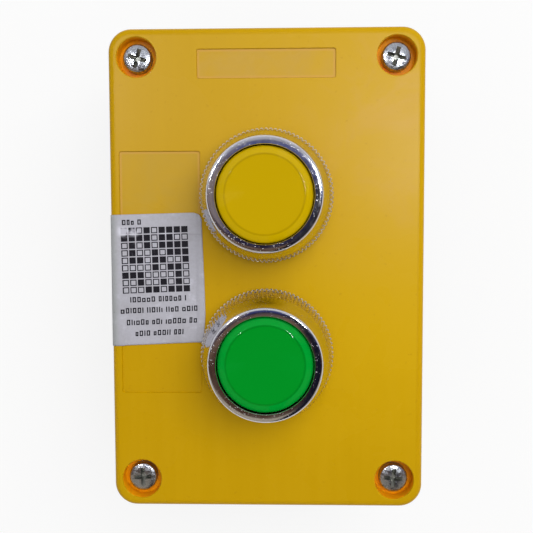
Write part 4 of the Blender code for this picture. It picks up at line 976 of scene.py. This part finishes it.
def make_label():
    """A paper label over the side recess, wrapped round the lid's side, with boxes and bars in print."""
    marks = label_marks()
    columns = label_breaks(marks, 0, -LABEL_WRAP, LABEL_WIDTH)
    rows = label_breaks(marks, 2, 0.0, LABEL_HEIGHT)
    bm = bmesh.new()
    grid = [[bm.verts.new(label_point(along, down)) for along in columns] for down in rows]
    for upper, lower, down, next_down in zip(grid, grid[1:], rows, rows[1:]):
        y = (down + next_down) / 2.0
        for index, (along, next_along) in enumerate(zip(columns, columns[1:])):
            x = (along + next_along) / 2.0
            face = bm.faces.new((upper[index], lower[index], lower[index + 1], upper[index + 1]))
            face.material_index = int(any(left < x < right and top < y < bottom
                                          for left, right, top, bottom in marks))
    bmesh.ops.remove_doubles(bm, verts=bm.verts, dist=SAME_LABEL_PLACE)
    label = add_piece("label", to_mesh(bm), "label_paper", "label_ink")
    if sum(face.normal.z for face in label.data.polygons) < 0.0:
        label.data.flip_normals()
    thick = label.modifiers.new("thickness", "SOLIDIFY")
    thick.thickness = LABEL_THICKNESS * MM
    thick.offset = 1.0
    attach(label, "root")


make_lid()
for number, (place, turn) in enumerate(zip(SCREW_PLACES, SCREW_TURNS), 1):
    make_screw(number, place, turn)
for color, y in BUTTONS:
    make_bezel(color, y)
    make_cap(color, y)
    make_spring(color, "return", f"{color}_button")
    make_spring(color, "contact", f"{color}_contact")
make_label()


def add_plane(name, size, height, material):
    """A flat rectangle of the stage."""
    bm = bmesh.new()
    bmesh.ops.create_grid(bm, x_segments=1, y_segments=1, size=0.5)
    for vert in bm.verts:
        vert.co = (vert.co.x * size[0], vert.co.y * size[1], height)
    mesh = bpy.data.meshes.new(name)
    bm.to_mesh(mesh)
    bm.free()
    mesh.materials.append(material)
    item = add_object(name, mesh)
    return item


def seen_directly(tree):
    """A value that is 1 for camera, glossy and transmission rays."""
    path = add_node(tree, "ShaderNodeLightPath")
    total = path.outputs["Is Camera Ray"]
    for name in ("Is Glossy Ray", "Is Transmission Ray"):
        total = add_maths(tree, "MAXIMUM", total, path.outputs[name])
    return total


def floor_material():
    """A pale floor that shows white where nothing shades it and keeps the object's shadow."""
    material = bpy.data.materials.new("floor")
    material.use_nodes = True
    tree = material.node_tree
    tree.nodes.clear()
    pale = add_node(tree, "ShaderNodeBsdfDiffuse", Color=(FLOOR_COLOR, FLOOR_COLOR, FLOOR_COLOR, 1.0))
    glow = add_node(tree, "ShaderNodeEmission", Color=(1.0, 1.0, 1.0, 1.0), Strength=1.0)
    share = add_maths(tree, "MULTIPLY", seen_directly(tree), FLOOR_GLOW)
    add_node(tree, "ShaderNodeOutputMaterial", Surface=mix_shaders(tree, share, pale, glow))
    return material


# What the card shows along its length: where a colour starts and is full, its share and the colour
CARD_LOW_BANDS = (
    (0.0, -0.04, 1.0, srgb(44, 40, 64)),
    (-0.07, -0.11, 1.0, srgb(122, 98, 82)),
    (-0.15, -0.2, 1.0, srgb(84, 60, 48)),
    (-0.29, -0.36, 1.0, srgb(184, 172, 154)),
)
CARD_HIGH_BANDS = (
    (0.08, 0.12, 0.6, srgb(104, 110, 150)),
    (0.15, 0.165, 1.0, srgb(160, 160, 170)),
    (0.2, 0.24, 1.0, srgb(200, 200, 208)),
    (0.5, 0.6, 1.0, srgb(236, 236, 240)),
)

# Patches between the bands: colour, where the sides across fade in, and where the end along does
CARD_PATCHES = (
    (srgb(20, 20, 36), ((0.02, 0.055), (0.4, 0.3)), (0.075, 0.035)),
    (srgb(140, 126, 124), ((-0.082, -0.1),), (-0.06, -0.02)),
)
CARD_WAVE = 0.12


def card_material():
    """A studio card that only reflections see: pale at both ends, navy, brown and black between them."""
    item = Finish("card", (0.02, 0.02, 0.03), 1.0, specular=0.0)
    wave = item.product(item.maths("SUBTRACT", item.noise(6.0, 3.0, 0.6), 0.5), CARD_WAVE)
    across = item.maths("ADD", item.axis("X"), wave)
    along = item.maths("ADD", item.axis("Y"), wave)
    hue = srgb(54, 62, 122)
    for start, full, share, color in CARD_LOW_BANDS:
        hue = item.tint(hue, color, item.ranged(along, start, full, 0.0, share))
    for color, sides, end in CARD_PATCHES:
        shares = [item.ranged(across, *limits) for limits in sides]
        hue = item.tint(hue, color, *shares, item.ranged(along, *end))
    for start, full, share, color in CARD_HIGH_BANDS:
        hue = item.tint(hue, color, item.ranged(along, start, full, 0.0, share))
    hue = item.tint(hue, srgb(24, 22, 36), item.ranged(item.noise(16.0, 3.0, 0.6), 0.5, 0.62, 0.0, 0.4))
    glow = add_node(item.tree, "ShaderNodeEmission", Color=hue, Strength=1.0)
    feed(item.tree, item.tree.nodes["Material Output"].inputs["Surface"], glow.outputs[0])
    return item.material


def area_lamp(name, place, target, size, power):
    """A soft square lamp that faces a point."""
    data = bpy.data.lights.new(name, "AREA")
    data.shape = "SQUARE"
    data.size = size
    data.energy = power
    item = add_object(name, data)
    item.location = place
    item.rotation_euler = (Vector(target) - Vector(place)).to_track_quat("-Z", "Y").to_euler()
    return item


def make_world():
    """A plain light all round, which looks white and which mirrors show darker towards the floor."""
    world = bpy.data.worlds.new("world")
    bpy.context.scene.world = world
    world.use_nodes = True
    tree = world.node_tree
    tree.nodes.clear()
    plain = add_node(tree, "ShaderNodeBackground", Color=(1.0, 1.0, 1.0, 1.0), Strength=SKY_LIGHT)
    direction = add_node(tree, "ShaderNodeTexCoord").outputs["Generated"]
    up = add_node(tree, "ShaderNodeSeparateXYZ", Vector=direction).outputs["Z"]
    height = add_node(tree, "ShaderNodeMapRange", Value=up, From_Min=0.0, From_Max=SKY_RISE,
                      To_Min=SKY_LOW, To_Max=SKY_HIGH)
    glossy = add_node(tree, "ShaderNodeLightPath").outputs["Is Glossy Ray"]
    mirrored = add_node(tree, "ShaderNodeMix", Factor=glossy, A=1.0, B=height.outputs["Result"])
    white = add_node(tree, "ShaderNodeBackground", Color=mirrored.outputs["Result"], Strength=1.0)
    add_node(tree, "ShaderNodeOutputWorld", Surface=mix_shaders(tree, seen_directly(tree), plain, white))


add_plane("floor", FLOOR_SIZE, 0.0, floor_material())
card = add_plane("card", CARD_SIZE, CARD_HEIGHT, card_material())
card.visible_camera = False
card.visible_diffuse = False
card.visible_shadow = False
card.visible_transmission = False

overhead = area_lamp("overhead", OVERHEAD_PLACE, OVERHEAD_TARGET, OVERHEAD_SIZE, OVERHEAD_POWER)
overhead.visible_glossy = False
for name, middle, power in LAMP_ROWS:
    sideways = Vector((-middle[1], middle[0], 0.0)).normalized()
    for number in (1, 2, 3):
        place = Vector(middle) + sideways * LAMP_SPACING * (number - 2)
        lamp = area_lamp(f"{name}_{number}", place, LAMP_TARGET, LAMP_SIZE, power)
        lamp.visible_diffuse = False
make_world()

camera_data = bpy.data.cameras.new("camera")
camera_data.sensor_width = SENSOR
camera_data.lens = FOCAL_PIXELS / IMAGE_PIXELS * SENSOR
camera_data.clip_start = CLIP_START
camera_data.clip_end = CLIP_END
camera = add_object("camera", camera_data)
camera.location = [value * MM for value in CAMERA_PLACE]
camera.rotation_euler = CAMERA_TURN
bpy.context.scene.camera = camera
bpy.context.scene.view_settings.view_transform = "Standard"
